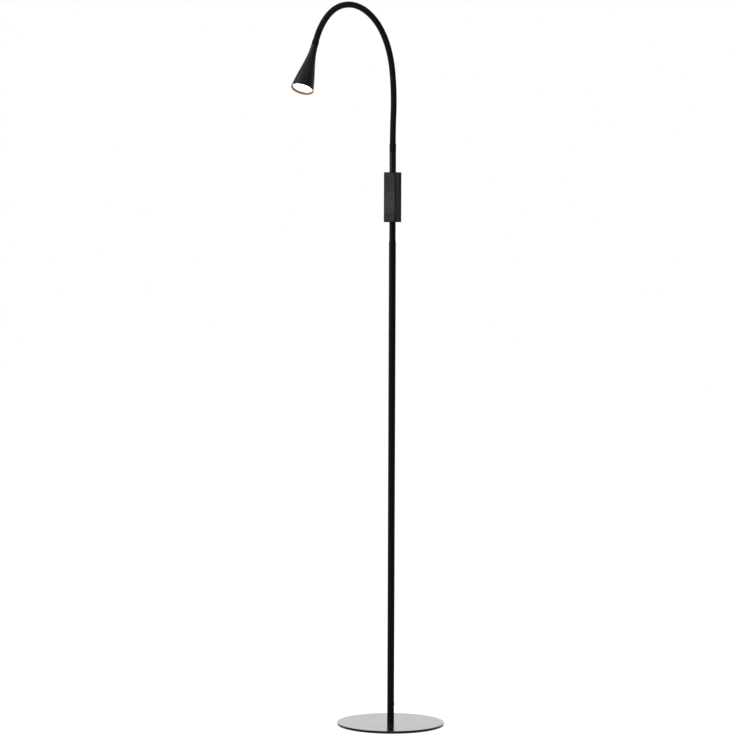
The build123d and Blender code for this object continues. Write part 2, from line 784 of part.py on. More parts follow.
with BuildPart() as head_ferrule:
    turn(
        [
            (core_socket, cuff_taper_end),
            (ferrule_radius, cuff_taper_end),
            (ferrule_radius, HEAD_START),
            (head_thread, HEAD_START),
            (head_thread, HEAD_START + HEAD_THREAD_LENGTH),
            (core_bore, HEAD_START + HEAD_THREAD_LENGTH),
            (core_bore, core_tip_reach + SEAT_GAP),
            (core_socket, core_tip_reach + SEAT_GAP),
        ],
        section=head_section,
        axis=head_axis,
    )

head_ferrule.part.label = "head_ferrule"
export_step(head_ferrule.part, "parts/head_ferrule.step")

# ---- Soft sleeve, one piece from the root cuff to the head ----

cuff_foot = ferrule_collar + MATING_GAP
taper_start = neck_start - CUFF_TAPER

with BuildPart() as neck_sleeve:
    turn(
        [
            (cuff_bore, cuff_foot),
            (cuff_radius, cuff_foot),
            (cuff_radius, taper_start),
            (sleeve_radius, neck_start),
            (sleeve_bore, neck_start),
            (cuff_bore, ferrule_collar + FERRULE_REACH + SEAT_GAP),
        ]
    )
    with BuildLine(Plane.YZ) as route:
        place = cell_places[0]
        for count, degrees in NECK_STRETCHES:
            draw_stretch(*place, count * CELL_LENGTH, count * degrees)
            place = onward(*place, count * CELL_LENGTH, count * degrees)
    with BuildSketch(Plane.XY.offset(neck_start)) as ring:
        Circle(sleeve_radius)
        Circle(sleeve_bore, mode=Mode.SUBTRACT)
    sweep(ring.sketch, path=route.line)
    turn(
        [
            (sleeve_bore, 0),
            (sleeve_radius, 0),
            (cuff_radius, CUFF_TAPER),
            (cuff_radius, HEAD_START - MATING_GAP),
            (cuff_bore, HEAD_START - MATING_GAP),
            (cuff_bore, CUFF_TAPER),
        ],
        section=head_section,
        axis=head_axis,
    )

neck_sleeve.part.label = "neck_sleeve"
export_step(neck_sleeve.part, "parts/neck_sleeve.step")

# ---- Head shell ----
# The outside flares from the neck to the mouth along one cubic curve.

mouth_radius = MOUTH_DIAMETER / 2
flare_length = HEAD_LENGTH - HEAD_START
flare_rise = mouth_radius - cuff_radius


def shell_radius(reach):
    """The shell's outside radius at a reach along the head's axis."""
    share = (reach - HEAD_START) / flare_length
    return cuff_radius + flare_rise * (3 * HEAD_FLARE * share**2 * (1 - share) + share**3)


diffuser_front = HEAD_LENGTH - DIFFUSER_RECESS
diffuser_back = diffuser_front - DIFFUSER_THICKNESS
chip_back = diffuser_back - REFLECTOR_DEPTH
led_board_back = chip_back - LED_BOARD_THICKNESS
sink_back = led_board_back - SINK_PLATE
seat_radius = shell_radius(diffuser_back) - MOUTH_LIP
hollow_start = HEAD_START + HEAD_SOLID

with BuildPart() as head_shell:
    with BuildSketch(head_section) as outside:
        with BuildLine():
            Polyline((0, HEAD_LENGTH), (0, HEAD_START), (cuff_radius, HEAD_START))
            Bezier(
                (cuff_radius, HEAD_START),
                (cuff_radius, HEAD_START + flare_length / 3),
                (cuff_radius + HEAD_FLARE * flare_rise, HEAD_START + flare_length * 2 / 3),
                (mouth_radius, HEAD_LENGTH),
            )
            Line((mouth_radius, HEAD_LENGTH), (0, HEAD_LENGTH))
        make_face()
    revolve(outside.sketch, axis=head_axis)
    # The hollow follows the outside, with a ledge behind the heat sink.
    for start, end, wall in (
        (hollow_start, sink_back, HEAD_WALL + HEAD_LEDGE),
        (sink_back, diffuser_back, HEAD_WALL),
    ):
        step = (end - start) / WALL_STEPS
        reaches = [start + step * count for count in range(WALL_STEPS + 1)]
        with BuildSketch(head_section) as hollow:
            with BuildLine():
                wall_line = Spline(*[(shell_radius(reach) - wall, reach) for reach in reaches])
                Polyline(wall_line @ 1, (0, end), (0, start), wall_line @ 0)
            make_face()
        revolve(hollow.sketch, axis=head_axis, mode=Mode.SUBTRACT)
    turn(
        [
            (0, diffuser_back),
            (seat_radius, diffuser_back),
            (seat_radius, diffuser_front + DIFFUSER_RING_HEIGHT),
            (mouth_radius - MOUTH_LIP, HEAD_LENGTH),
            (0, HEAD_LENGTH),
        ],
        section=head_section,
        axis=head_axis,
        mode=Mode.SUBTRACT,
    )
    bore(head_plane.offset(HEAD_START), head_thread + THREAD_GAP, HEAD_SOLID)

head_shell.part.label = "head_shell"
export_step(head_shell.part, "parts/head_shell.step")

# ---- Heat sink: a plate with radial fins behind it and a hub that the leads pass through ----

fin_start = sink_back - SINK_FIN_HEIGHT
fin_wall = HEAD_WALL + HEAD_LEDGE + SINK_FIN_GAP

with BuildPart() as heat_sink:
    with BuildSketch(head_plane.offset(fin_start)):
        Circle(SINK_HUB_DIAMETER / 2)
        with PolarLocations(0, SINK_FINS):
            Rectangle(mouth_radius, SINK_FIN_THICKNESS, align=(Align.MIN, Align.CENTER))
    extrude(amount=SINK_FIN_HEIGHT)
    turn(
        [
            (0, fin_start),
            (shell_radius(fin_start) - fin_wall, fin_start),
            (shell_radius(sink_back) - fin_wall, sink_back),
            (0, sink_back),
        ],
        section=head_section,
        axis=head_axis,
        mode=Mode.INTERSECT,
    )
    with BuildSketch(head_plane.offset(sink_back)):
        Circle(shell_radius(sink_back) - HEAD_WALL - SEAT_GAP)
    extrude(amount=SINK_PLATE)
    bore(head_plane.offset(fin_start), core_bore, SINK_FIN_HEIGHT + SINK_PLATE)
    for side in (-1, 1):
        screw_place = at(head_plane, side * LED_SCREW_CIRCLE / 2, 0, sink_back)
        bore(screw_place, LED_SCREW_DIAMETER / 2 + THREAD_GAP, SINK_PLATE)

heat_sink.part.label = "heat_sink"
export_step(heat_sink.part, "parts/heat_sink.step")

# ---- Light source ----

with BuildPart() as led_board:
    with BuildSketch(head_plane.offset(led_board_back)):
        Circle(LED_BOARD_DIAMETER / 2)
        with Locations((-LED_SCREW_CIRCLE / 2, 0), (LED_SCREW_CIRCLE / 2, 0)):
            Circle(LED_SCREW_DIAMETER / 2 + SEAT_GAP, mode=Mode.SUBTRACT)
    extrude(amount=LED_BOARD_THICKNESS)

led_board.part.label = "led_board"
export_step(led_board.part, "parts/led_board.step")

with BuildPart() as led_chip:
    with BuildSketch(head_plane.offset(chip_back)):
        Circle(LED_CHIP_DIAMETER / 2)
    extrude(amount=LED_CHIP_HEIGHT)

led_chip.part.label = "led_chip"
export_step(led_chip.part, "parts/led_chip.step")

with BuildPart() as led_board_screws:
    for side in (-1, 1):
        head_seat = at(head_plane, side * LED_SCREW_CIRCLE / 2, 0, chip_back)
        with BuildSketch(head_seat):
            Circle(LED_SCREW_HEAD / 2)
        extrude(amount=LED_SCREW_HEAD_HEIGHT)
        with BuildSketch(head_seat):
            Circle(LED_SCREW_DIAMETER / 2)
        extrude(amount=-LED_SCREW_LENGTH)
        hexagon_socket(
            head_seat.offset(LED_SCREW_HEAD_HEIGHT), LED_SCREW_SOCKET, LED_SCREW_SOCKET_DEPTH
        )

led_board_screws.part.label = "led_board_screws"
export_step(led_board_screws.part, "parts/led_board_screws.step")

throat_radius = REFLECTOR_THROAT / 2
reflector_mouth = seat_radius - REFLECTOR_MOUTH_WALL
reflector_back = chip_back + SEAT_GAP
reflector_front = diffuser_back - SEAT_GAP

with BuildPart() as reflector:
    turn(
        [
            (throat_radius, reflector_back),
            (throat_radius + REFLECTOR_THICKNESS, reflector_back),
            (reflector_mouth, reflector_front),
            (reflector_mouth - REFLECTOR_THICKNESS, reflector_front),
        ],
        section=head_section,
        axis=head_axis,
    )

reflector.part.label = "reflector"
export_step(reflector.part, "parts/reflector.step")

with BuildPart() as diffuser:
    with BuildSketch(head_plane.offset(diffuser_back)):
        Circle(seat_radius - SEAT_GAP)
    extrude(amount=DIFFUSER_THICKNESS)

diffuser.part.label = "diffuser"
export_step(diffuser.part, "parts/diffuser.step")

with BuildPart() as diffuser_ring:
    tube(
        head_plane.offset(diffuser_front),
        seat_radius - PRESS_GAP,
        seat_radius - DIFFUSER_RING_WIDTH,
        DIFFUSER_RING_HEIGHT,
    )

diffuser_ring.part.label = "diffuser_ring"
export_step(diffuser_ring.part, "parts/diffuser_ring.step")

# ---- Leads through the neck, from the upper terminal to the light source ----

neck_leads_foot = terminal_levels[1] + TERMINAL_HEIGHT / 2

with BuildPart() as neck_leads:
    for side in (-lead_offset, lead_offset):
        with BuildLine(Plane.YZ.offset(side)) as route:
            Line((0, neck_leads_foot), (0, neck_start))
            place = cell_places[0]
            for count, degrees in NECK_STRETCHES:
                draw_stretch(*place, count * CELL_LENGTH, count * degrees)
                place = onward(*place, count * CELL_LENGTH, count * degrees)
            draw_stretch(*place, led_board_back, 0)
        with BuildSketch(Plane(origin=(side, 0, neck_leads_foot))) as wire:
            Circle(LEAD_DIAMETER / 2)
        sweep(wire.sketch, path=route.line)

neck_leads.part.label = "neck_leads"
export_step(neck_leads.part, "parts/neck_leads.step")
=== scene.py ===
import json
import math

import bmesh
import bpy
from bpy.props import FloatProperty, FloatVectorProperty, PointerProperty
from mathutils import Matrix, Vector


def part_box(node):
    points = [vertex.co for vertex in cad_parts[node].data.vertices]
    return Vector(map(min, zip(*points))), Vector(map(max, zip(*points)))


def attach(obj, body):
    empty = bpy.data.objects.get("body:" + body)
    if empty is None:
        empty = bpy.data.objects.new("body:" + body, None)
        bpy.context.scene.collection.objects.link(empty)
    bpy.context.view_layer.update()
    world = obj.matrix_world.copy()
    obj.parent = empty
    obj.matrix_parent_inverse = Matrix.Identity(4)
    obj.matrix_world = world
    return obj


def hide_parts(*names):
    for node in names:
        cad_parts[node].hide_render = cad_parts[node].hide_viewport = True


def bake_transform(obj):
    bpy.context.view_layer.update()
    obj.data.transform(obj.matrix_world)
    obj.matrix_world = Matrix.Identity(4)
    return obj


bl_info = {
    "name": "Gooseneck Reading Floor Lamp",
    "version": (1, 0, 0),
    "blender": (4, 5, 0),
    "location": "3D View > Sidebar > Floor Lamp",
    "description": "Finished surfaces, bendable neck and studio for a gooseneck reading floor lamp",
    "category": "Object",
}

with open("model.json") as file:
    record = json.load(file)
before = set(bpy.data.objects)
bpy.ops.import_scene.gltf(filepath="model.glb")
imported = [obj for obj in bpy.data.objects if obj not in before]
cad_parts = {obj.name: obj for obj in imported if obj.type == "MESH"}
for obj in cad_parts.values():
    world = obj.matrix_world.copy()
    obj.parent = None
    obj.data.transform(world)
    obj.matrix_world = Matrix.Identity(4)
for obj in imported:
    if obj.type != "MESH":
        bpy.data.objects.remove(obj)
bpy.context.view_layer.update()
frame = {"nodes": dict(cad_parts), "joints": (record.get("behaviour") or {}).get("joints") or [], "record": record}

MM = 0.001

# ---- Camera: at the height of the switch housing, to the right of the button's side ----
CAMERA_PLACE = (2.650, -4.5899, 0.9254)
CAMERA_TURN = 30.479
CAMERA_TILT = 87.048
CAMERA_ROLL = 0.2
CAMERA_LENS = 143.44

# ---- Neck: equal cells, and how many of them turn forward by how many degrees each ----
CELL_LENGTH = 26.1 * MM
NECK_STRETCHES = ((2, -2.1), (3, 5.2), (4, 11.6), (5, 9.3), (4, 12.0))
CELL_TURNS = [degrees for count, degrees in NECK_STRETCHES for _ in range(count)]
CELL_COUNT = len(CELL_TURNS)
NECK_LENGTH = CELL_COUNT * CELL_LENGTH
NECK_FOOT = frame["joints"][0]["pos_m"][2] - CELL_LENGTH / 2
CELL_STEPS = 10
# Two cells whose hinges lie exactly across the neck's plane. A bend's centre can come out far away
# there, so the sleeve and the leads are rigid halves in these.
HALVED_CELLS = (7, 9)

SLEEVE_RADIUS = 5.4 * MM
CUFF_RADIUS = 6.0 * MM
CUFF_TAPER = 3.3 * MM
CUFF_LENGTH = 16.0 * MM
HEAD_CUFF_LENGTH = 11.7 * MM
LEAD_RADIUS = 0.75 * MM
LEAD_OFFSET = 1.3 * MM
CORE_RADIUS = 3.9 * MM
CORE_BORE = 2.5 * MM
CORE_HALF_GAP = 1.0 * MM
CORE_FOOT = -14.3 * MM
CORE_TIP = 10.0 * MM

# ---- Head, as reaches along its axis from the neck's end ----
HEAD_FLARE = 0.8
HEAD_WALL = 1.5 * MM
HEAD_LEDGE = 0.6 * MM
HEAD_SOLID = 13.0 * MM
HEAD_BORE = 4.05 * MM
MOUTH_LIP = 0.9 * MM
SHELL_STEPS = 48

# ---- Housing ----
HOUSING_CORNER = 1.2 * MM
HOUSING_INNER_CORNER = 0.5 * MM
HOUSING_WALL = 1.6 * MM
CAP_BOSS_RADIUS = 8.2 * MM
SCREW_BOSS_RADIUS = 2.3 * MM
CAP_SCREW_HEAD = 2.0 * MM
CAP_SCREW_SHANK = 1.1 * MM
CAP_SCREW_KEY = 1.6 * MM
GRUB_RADIUS = 2.0 * MM
GRUB_KEY = 2.0 * MM
GRUB_KEY_DEPTH = 1.8 * MM
BUTTON_RADIUS = 3.4 * MM
BUTTON_FLANGE = 0.8 * MM
BEZEL_WALL_RADIUS = 4.28 * MM
LENS_RADIUS = 2.25 * MM
LENS_STEM = 1.5 * MM
LENS_FLANGE = 0.6 * MM
SEAT_GAP = 0.1 * MM
CAP_SCREW_LENGTH = 8.0 * MM
INLET_BARREL = 3.22 * MM
SINK_PLATE = 4.0 * MM

# ---- Studio ----
KEY_PLACE = (-1.72, -2.72, 1.20)
KEY_TARGET = (0.0, -0.1, 1.0)
KEY_SIZE = (0.9, 1.2)
TOP_PLACE = (0.3, -0.6, 3.4)
TOP_SIZE = (2.6, 2.6)
HIGH_PLACE = (-1.63, -1.3, 3.4)
HIGH_TARGET = (0.0, -0.3, 1.2)
HIGH_SIZE = (0.8, 0.8)
FLOOR_CORNERS = ((-1, -1), (1, -1), (1, 1), (-1, 1))
FLOOR_REACH = 8.0
FLOOR_TONE = 0.82
FLOOR_WHITE = 0.93
FLOOR_SHADE = 0.25

# ---- Mesh fineness ----
SIDES = 72
BASE_SIDES = 240
SCREW_SIDES = 24
CORE_SIDES = 32
LEAD_SIDES = 16
ARC_STEPS = 5
CORNER_STEPS = 6
FLAT_STEPS = 12
SHARP_ANGLE = math.radians(38)
TINY = 1e-7

slot_of = {row["node"]: row["material_slot"] for row in frame["record"]["subparts"]}


class LampSizes(bpy.types.PropertyGroup):
    """Small sizes of the lamp's finish that a user may change."""

    base_edge: FloatProperty(
        name="Base edge", description="Rounding of the base's rim", default=0.6 * MM, unit="LENGTH"
    )
    tube_edge: FloatProperty(
        name="Tube edge",
        description="Rounding of each tube's ends, which shows as a seam",
        default=0.25 * MM,
        unit="LENGTH",
    )
    housing_edge: FloatProperty(
        name="Housing edge",
        description="Rounding of the switch housing's ends",
        default=0.3 * MM,
        unit="LENGTH",
    )
    cap_edge: FloatProperty(
        name="Cap edge",
        description="Rounding of the end caps' outer edges",
        default=0.5 * MM,
        unit="LENGTH",
    )
    button_dish: FloatProperty(
        name="Button dish",
        description="Depth of the hollow in the button's face",
        default=0.45 * MM,
        unit="LENGTH",
    )
    sleeve_skin: FloatProperty(
        name="Sleeve skin",
        description="Thickness of the soft sleeve's wall",
        default=0.55 * MM,
        unit="LENGTH",
    )
    core_pitch: FloatProperty(
        name="Core pitch",
        description="Distance between the turns of the wound core",
        default=2.4 * MM,
        unit="LENGTH",
    )
    core_groove: FloatProperty(
        name="Core groove",
        description="Depth of the groove between two turns of the core",
        default=0.45 * MM,
        unit="LENGTH",
    )
    rim_edge: FloatProperty(
        name="Mouth rim", description="Rounding of the head's rim", default=0.3 * MM, unit="LENGTH"
    )


def colour_property(name, description, default):
    """A colour that a user may change."""
    return FloatVectorProperty(
        name=name, description=description, default=default, subtype="COLOR", min=0.0, max=1.0
    )


class LampColours(bpy.types.PropertyGroup):
    """Colours of the lamp's main finishes."""

    base_paint: colour_property("Base paint", "Gloss paint of the base", (0.004, 0.004, 0.004))
    pole_paint: colour_property("Pole paint", "Paint of the pole's tubes", (0.0035, 0.0035, 0.0038))
    head_paint: colour_property("Head paint", "Satin paint of the head", (0.004, 0.004, 0.0042))
    housing_plastic: colour_property(
        "Housing plastic", "Moulded plastic of the switch housing", (0.004, 0.0041, 0.0042)
    )
    sleeve_rubber: colour_property("Sleeve rubber", "Soft skin of the neck", (0.007, 0.007, 0.0075))
    # Painted light: a warm bronze colour that stands in for the lamp's own warm glow falling on the black inner
    # wall of the head's mouth.
    mouth_bronze: colour_property("Mouth painted glow", "Lamp's warm light painted on the head's mouth lining", (0.15, 0.080, 0.026))
    lamp_light: colour_property("Lamp light", "Colour of the lit window", (1.0, 0.95, 0.86))


class LampStudio(bpy.types.PropertyGroup):
    """Levels of the studio's light."""

    key_power: FloatProperty(
        name="Key light", description="Power of the tall soft light", default=60.0, unit="POWER"
    )
    top_power: FloatProperty(
        name="Top light", description="Power of the broad overhead light", default=36.0, unit="POWER"
    )
    high_power: FloatProperty(
        name="High light", description="Power of the small high light", default=45.0, unit="POWER"
    )
    room_level: FloatProperty(
        name="Room level", description="Strength of the light from all round", default=0.34
    )
    window_strength: FloatProperty(
        name="Window strength", description="Brightness of the lit window", default=2.8
    )


# ---- Places ----


def facing(normal, origin=(0.0, 0.0, 0.0)):
    """A place whose Z is the normal, and whose Y is upright where it can be."""
    normal = Vector(normal)
    up = Vector((0, 0, 1)) if abs(normal.z) < 0.5 else Vector((0, normal.z, 0))
    place = Matrix((up.cross(normal), up, normal)).transposed().to_4x4()
    place.translation = origin
    return place


def onward(point, heading, length, degrees):
    """The point and heading that an arc of this length and turn leads to."""
    half = math.radians(degrees / 2)
    chord = length * (math.sin(half) / half if half else 1.0)
    middle = math.radians(heading) + half
    return point + chord * Vector((0, -math.sin(middle), math.cos(middle))), heading + degrees


def neck_place(reach):
    """The place on the neck's centre line at a reach from its foot. Its Z runs along the line."""
    point, heading, left = Vector((0, 0, NECK_FOOT + min(reach, 0))), 0.0, max(reach, 0)
    for degrees in CELL_TURNS:
        length = min(left, CELL_LENGTH)
        point, heading = onward(point, heading, length, degrees * length / CELL_LENGTH)
        left -= length
    point, heading = onward(point, heading, left, 0)
    return Matrix.Translation(point) @ Matrix.Rotation(math.radians(heading), 4, "X")


def measure(node, place=Matrix()):
    """Lowest and highest reach of a node along a place's Z, and its least and greatest radius."""
    inverse = place.inverted()
    points = [inverse @ vertex.co for vertex in frame["nodes"][node].data.vertices]
    reaches = [point.z for point in points]
    radii = [point.xy.length for point in points]
    return min(reaches), max(reaches), min(radii), max(radii)


def neck_body(number):
    """The body that the neck's piece with this number rides on, from the stand to the head."""
    if number == 0:
        return "stand"
    return "lamp_head" if number == CELL_COUNT else f"neck_{number:02d}"


# ---- Rings and skins ----


def soften(outline):
    """The points of a closed outline of (radius, height, rounding), with its corners rounded."""
    points = []
    for index, (radius, height, rounding) in enumerate(outline):
        corner = Vector((radius, height))
        if not rounding:
            points.append(corner)
            continue
        before = (Vector(outline[index - 1][:2]) - corner).normalized()
        after = (Vector(outline[(index + 1) % len(outline)][:2]) - corner).normalized()
        half = before.angle(after) / 2
        centre = corner + (before + after).normalized() * rounding / math.sin(half)
        start = corner + before * rounding / math.tan(half) - centre
        end = corner + after * rounding / math.tan(half) - centre
        for step in range(ARC_STEPS + 1):
            points.append(centre + start.lerp(end, step / ARC_STEPS).normalized() * rounding)
    return points


def circle(place, radius, height, sides=SIDES):
    """A round ring, or a single point where the radius is nothing."""
    if radius < TINY:
        return [place @ Vector((0, 0, height))]
    turns = [math.tau * side / sides for side in range(sides)]
    return [place @ Vector((radius * math.cos(t), radius * math.sin(t), height)) for t in turns]


def hexagon(place, across, height, sides=SCREW_SIDES):
    """A ring along a hexagon of that width across its flats."""
    points = []
    for side in range(sides):
        turn = math.tau * side / sides
        radius = across / 2 / math.cos(turn % (math.pi / 3) - math.pi / 6)
        points.append(place @ Vector((radius * math.cos(turn), radius * math.sin(turn), height)))
    return points


def square(place, half, corner, height):
    """A ring along a square with rounded corners."""
    flat = half - corner
    points = []
    for quarter in range(4):
        turn = Matrix.Rotation(quarter * math.pi / 2, 3, "Z")
        for step in range(CORNER_STEPS + 1):
            angle = math.pi / 2 * step / CORNER_STEPS
            point = Vector((flat + corner * math.cos(angle), flat + corner * math.sin(angle), height))
            points.append(place @ (turn @ point))
        for step in range(1, FLAT_STEPS):
            point = Vector((flat - 2 * flat * step / FLAT_STEPS, half, height))
            points.append(place @ (turn @ point))
    return points


def round_in_square(place, radius, half, corner, height):
    """A round ring whose points face those of the square ring."""
    flat_ring = square(Matrix(), half, corner, 0)
    return [place @ (point.normalized() * radius + Vector((0, 0, height))) for point in flat_ring]


def skin(rings, closed=False):
    """A surface that joins each ring to the next: its points, faces and lengths along the outline."""
    points, faces, lengths, starts = [], [], [], []
    travelled = 0.0
    for index, ring in enumerate(rings):
        if index:
            travelled += (ring[0] - rings[index - 1][0]).length
        starts.append(len(points))
        points += ring
        lengths += [travelled] * len(ring)
    pairs = list(zip(range(len(rings)), range(1, len(rings))))
    if closed:
        pairs.append((len(rings) - 1, 0))
    for first, second in pairs:
        a, b = starts[first], starts[second]
        count = max(len(rings[first]), len(rings[second]))
        for i in range(count):
            j = (i + 1) % count
            if len(rings[first]) == 1:
                faces.append((a, b + j, b + i))
            elif len(rings[second]) == 1:
                faces.append((a + i, a + j, b))
            else:
                faces.append((a + i, a + j, b + j, b + i))
    return points, faces, lengths


def lathe(place, outline, closed=False, sides=SIDES):
    """A skin turned about a place's Z from an outline of (radius, height, rounding)."""
    return skin([circle(place, *point, sides) for point in soften(outline)], closed)


def solid(name, *skins):
    """A new object made of one or more skins."""
    points, faces, lengths = [], [], []
    for skin_points, skin_faces, skin_lengths in skins:
        offset = len(points)
        points += skin_points
        faces += [[offset + index for index in face] for face in skin_faces]
        lengths += skin_lengths
    mesh = bpy.data.meshes.new(name)
    mesh.from_pydata(points, [], faces)
    along = mesh.attributes.new("along", "FLOAT", "POINT")
    along.data.foreach_set("value", lengths)
    work = bmesh.new()
    work.from_mesh(mesh)
    bmesh.ops.recalc_face_normals(work, faces=work.faces)
    work.to_mesh(mesh)
    work.free()
    obj = bpy.data.objects.new(name, mesh)
    bpy.context.scene.collection.objects.link(obj)
    return obj


def cut(obj, *skins):
    """Cut closed skins out of an object."""
    cutter = solid("cutter", *skins)
    modifier = obj.modifiers.new("cut", "BOOLEAN")
    modifier.operation = "DIFFERENCE"
    modifier.solver = "EXACT"
    modifier.object = cutter
    bpy.context.view_layer.update()
    evaluated = obj.evaluated_get(bpy.context.evaluated_depsgraph_get())
    mesh = bpy.data.meshes.new_from_object(evaluated)
    obj.modifiers.clear()
    obj.data = mesh
    bpy.data.objects.remove(cutter)


def drill(place, radius, depth, flare):
    """A skin for a round hole against a place's Z, a little wider at its mouth."""
    return skin(
        [
            circle(place, 0, -depth),
            circle(place, radius, -depth),
            circle(place, radius, -flare),
            circle(place, radius + flare, 0),
            circle(place, radius + flare, flare),
            circle(place, 0, flare),
        ]
    )


def key_screw(place, key, key_depth, outline):
    """A skin for a screw with a six-sided key socket, whose outline goes on from the socket's rim."""
    rim = key / 2 / math.cos(math.pi / 6) + SEAT_GAP
    rings = [circle(place, 0, -key_depth - key / 6), hexagon(place, key, -key_depth)]
    rings += [hexagon(place, key, -SEAT_GAP), circle(place, rim, 0, SCREW_SIDES)]
    rings += [circle(place, *point, SCREW_SIDES) for point in outline]
    return skin(rings)


def dress(obj, finish_name, node):
    """Give a piece its finish and smooth shading, and hide the CAD node that it stands for."""
    obj.data.shade_smooth()
    obj.data.set_sharp_from_angle(angle=SHARP_ANGLE)
    if not obj.data.materials:
        obj.data.materials.append(finishes[finish_name])
    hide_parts(node)
    return obj


def rigid(obj, finish_name, body, node):
    """Dress a piece that rides on one body, and keep its flats flat."""
    dress(obj, finish_name, node)
    flats = obj.modifiers.new("flats", "WEIGHTED_NORMAL")
    flats.keep_sharp = True
    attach(obj, body)
    return obj


def bending(name, finish_name, cell, node, reaches, make):
    """A piece laid along one cell of the neck in its present pose and tied to no body, or, in a halved cell, two
    rigid halves that meet at the hinge and ride on the bodies at either side.
    """
    start, middle, end = ((cell - 1 + share) * CELL_LENGTH for share in (0, 0.5, 1))
    if cell in HALVED_CELLS:
        lower = [reach for reach in reaches if reach < middle] + [middle]
        upper = [middle] + [reach for reach in reaches if reach > middle]
        rigid(solid(f"{name}_lower", *make(lower)), finish_name, neck_body(cell - 1), node)
        rigid(solid(f"{name}_upper", *make(upper)), finish_name, neck_body(cell), node)
        return
    piece = solid(name, *make(reaches))
    dress(piece, finish_name, node)
    ends = (neck_place(reach).translation for reach in (start, end))
    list(ends)
    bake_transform(piece)


# ---- Shader groups ----


def add(tree, kind, feeds=(), **settings):
    """A new node. The settings are its own, and the feeds are its inputs' values or sockets."""
    node = tree.nodes.new(kind)
    for name, value in settings.items():
        setattr(node, name, value)
    for name, value in dict(feeds).items():
        if isinstance(value, bpy.types.NodeSocket):
            tree.links.new(value, node.inputs[name])
        else:
            node.inputs[name].default_value = value
    return node


def new_group(name, inputs, outputs):
    """An empty shader group with number inputs and outputs, and its two end nodes."""
    group = bpy.data.node_groups.new(name, "ShaderNodeTree")
    for label, value in inputs:
        socket = group.interface.new_socket(label, in_out="INPUT", socket_type="NodeSocketFloat")
        socket.default_value = value
    for label in outputs:
        group.interface.new_socket(label, in_out="OUTPUT", socket_type="NodeSocketFloat")
    return group, group.nodes.new("NodeGroupInput"), group.nodes.new("NodeGroupOutput")


def spread(tree, value, lowest, highest, low, high):
    """A value mapped from one range to another, and held inside it."""
    feeds = {"Value": value, "From Min": lowest, "From Max": highest, "To Min": low, "To Max": high}
    return add(tree, "ShaderNodeMapRange", feeds).outputs["Result"]


def build_fine_grain():
    """Fine surface texture, with a broad and faint change of tone."""
    group, enter, leave = new_group(
        "Fine grain", (("Scale", 1500.0), ("Mottle", 0.05)), ("Height", "Tone")
    )
    place = add(group, "ShaderNodeTexCoord").outputs["Object"]
    fine = add(
        group, "ShaderNodeTexNoise", {"Vector": place, "Scale": enter.outputs["Scale"], "Detail": 3.0}
    )
    broad_scale = add(
        group, "ShaderNodeMath", {0: enter.outputs["Scale"], 1: 0.04}, operation="MULTIPLY"
    )
    broad = add(
        group,
        "ShaderNodeTexNoise",
        {"Vector": place, "Scale": broad_scale.outputs[0], "Detail": 4.0},
    )
    darker = add(group, "ShaderNodeMath", {0: 1.0, 1: enter.outputs["Mottle"]}, operation="SUBTRACT")
    lighter = add(group, "ShaderNodeMath", {0: 1.0, 1: enter.outputs["Mottle"]}, operation="ADD")
    tone = spread(group, broad.outputs[0], 0.3, 0.7, darker.outputs[0], lighter.outputs[0])
    group.links.new(fine.outputs[0], leave.inputs["Height"])
    group.links.new(tone, leave.inputs["Tone"])
    return group


def build_handling():
    """Soft patches where hands and cloths have changed the gloss."""
    group, enter, leave = new_group("Handling", (("Scale", 18.0),), ("Mask",))
    place = add(group, "ShaderNodeTexCoord").outputs["Object"]
    patches = add(
        group,
        "ShaderNodeTexNoise",
        {"Vector": place, "Scale": enter.outputs["Scale"], "Detail": 5.0, "Distortion": 0.6},
    )
    group.links.new(spread(group, patches.outputs[0], 0.35, 0.65, 0.0, 1.0), leave.inputs["Mask"])
    return group


def build_turned_lines():
    """Fine rings left by turning, at a pitch along the piece's outline."""
    group, enter, leave = new_group("Turned lines", (("Pitch", 0.0002),), ("Height",))
    along = add(group, "ShaderNodeAttribute", attribute_name="along")
    count = add(
        group,
        "ShaderNodeMath",
        {0: along.outputs["Fac"], 1: enter.outputs["Pitch"]},
        operation="DIVIDE",
    )
    rings = add(
        group,
        "ShaderNodeTexNoise",
        {"W": count.outputs[0], "Scale": 1.0, "Detail": 2.0},
        noise_dimensions="1D",
    )
    group.links.new(rings.outputs[0], leave.inputs["Height"])
    return group


def build_settled_dust():
    """A thin veil of dust on faces that look up."""
    group, enter, leave = new_group("Settled dust", (("Amount", 0.05),), ("Mask",))
    normal = add(group, "ShaderNodeNewGeometry").outputs["Normal"]
    upward = add(group, "ShaderNodeSeparateXYZ", {0: normal}).outputs["Z"]
    facing_up = spread(group, upward, 0.55, 1.0, 0.0, 1.0)
    place = add(group, "ShaderNodeTexCoord").outputs["Object"]
    specks = add(group, "ShaderNodeTexNoise", {"Vector": place, "Scale": 260.0, "Detail": 6.0})
    patchy = spread(group, specks.outputs[0], 0.35, 0.75, 0.2, 1.0)
    amount = add(
        group, "ShaderNodeMath", {0: facing_up, 1: enter.outputs["Amount"]}, operation="MULTIPLY"
    )
    mask = add(group, "ShaderNodeMath", {0: amount.outputs[0], 1: patchy}, operation="MULTIPLY")
    group.links.new(mask.outputs[0], leave.inputs["Mask"])
    return group


def build_groups():
    """Build each shader group once."""
    for build in (build_fine_grain, build_handling, build_turned_lines, build_settled_dust):
        build()


def effect(tree, name, feeds=()):
    """A shader group's node in a material."""
    node = tree.nodes.new("ShaderNodeGroup")
    node.node_tree = bpy.data.node_groups[name]
    for label, value in dict(feeds).items():
        node.inputs[label].default_value = value
    return node


def toned(tree, colour, texture):
    """A colour that varies a little with the fine grain's tone."""
    feeds = {0: 1.0, 6: (*colour, 1.0), 7: texture.outputs["Tone"]}
    return add(tree, "ShaderNodeMix", feeds, data_type="RGBA", blend_type="MULTIPLY").outputs[2]


# ---- Finishes ----

DUST_COLOUR = (0.30, 0.29, 0.27, 1.0)
COAT_FADE = (0.3, 0.9)
BUMP_STRENGTH = 0.6
finishes = {}


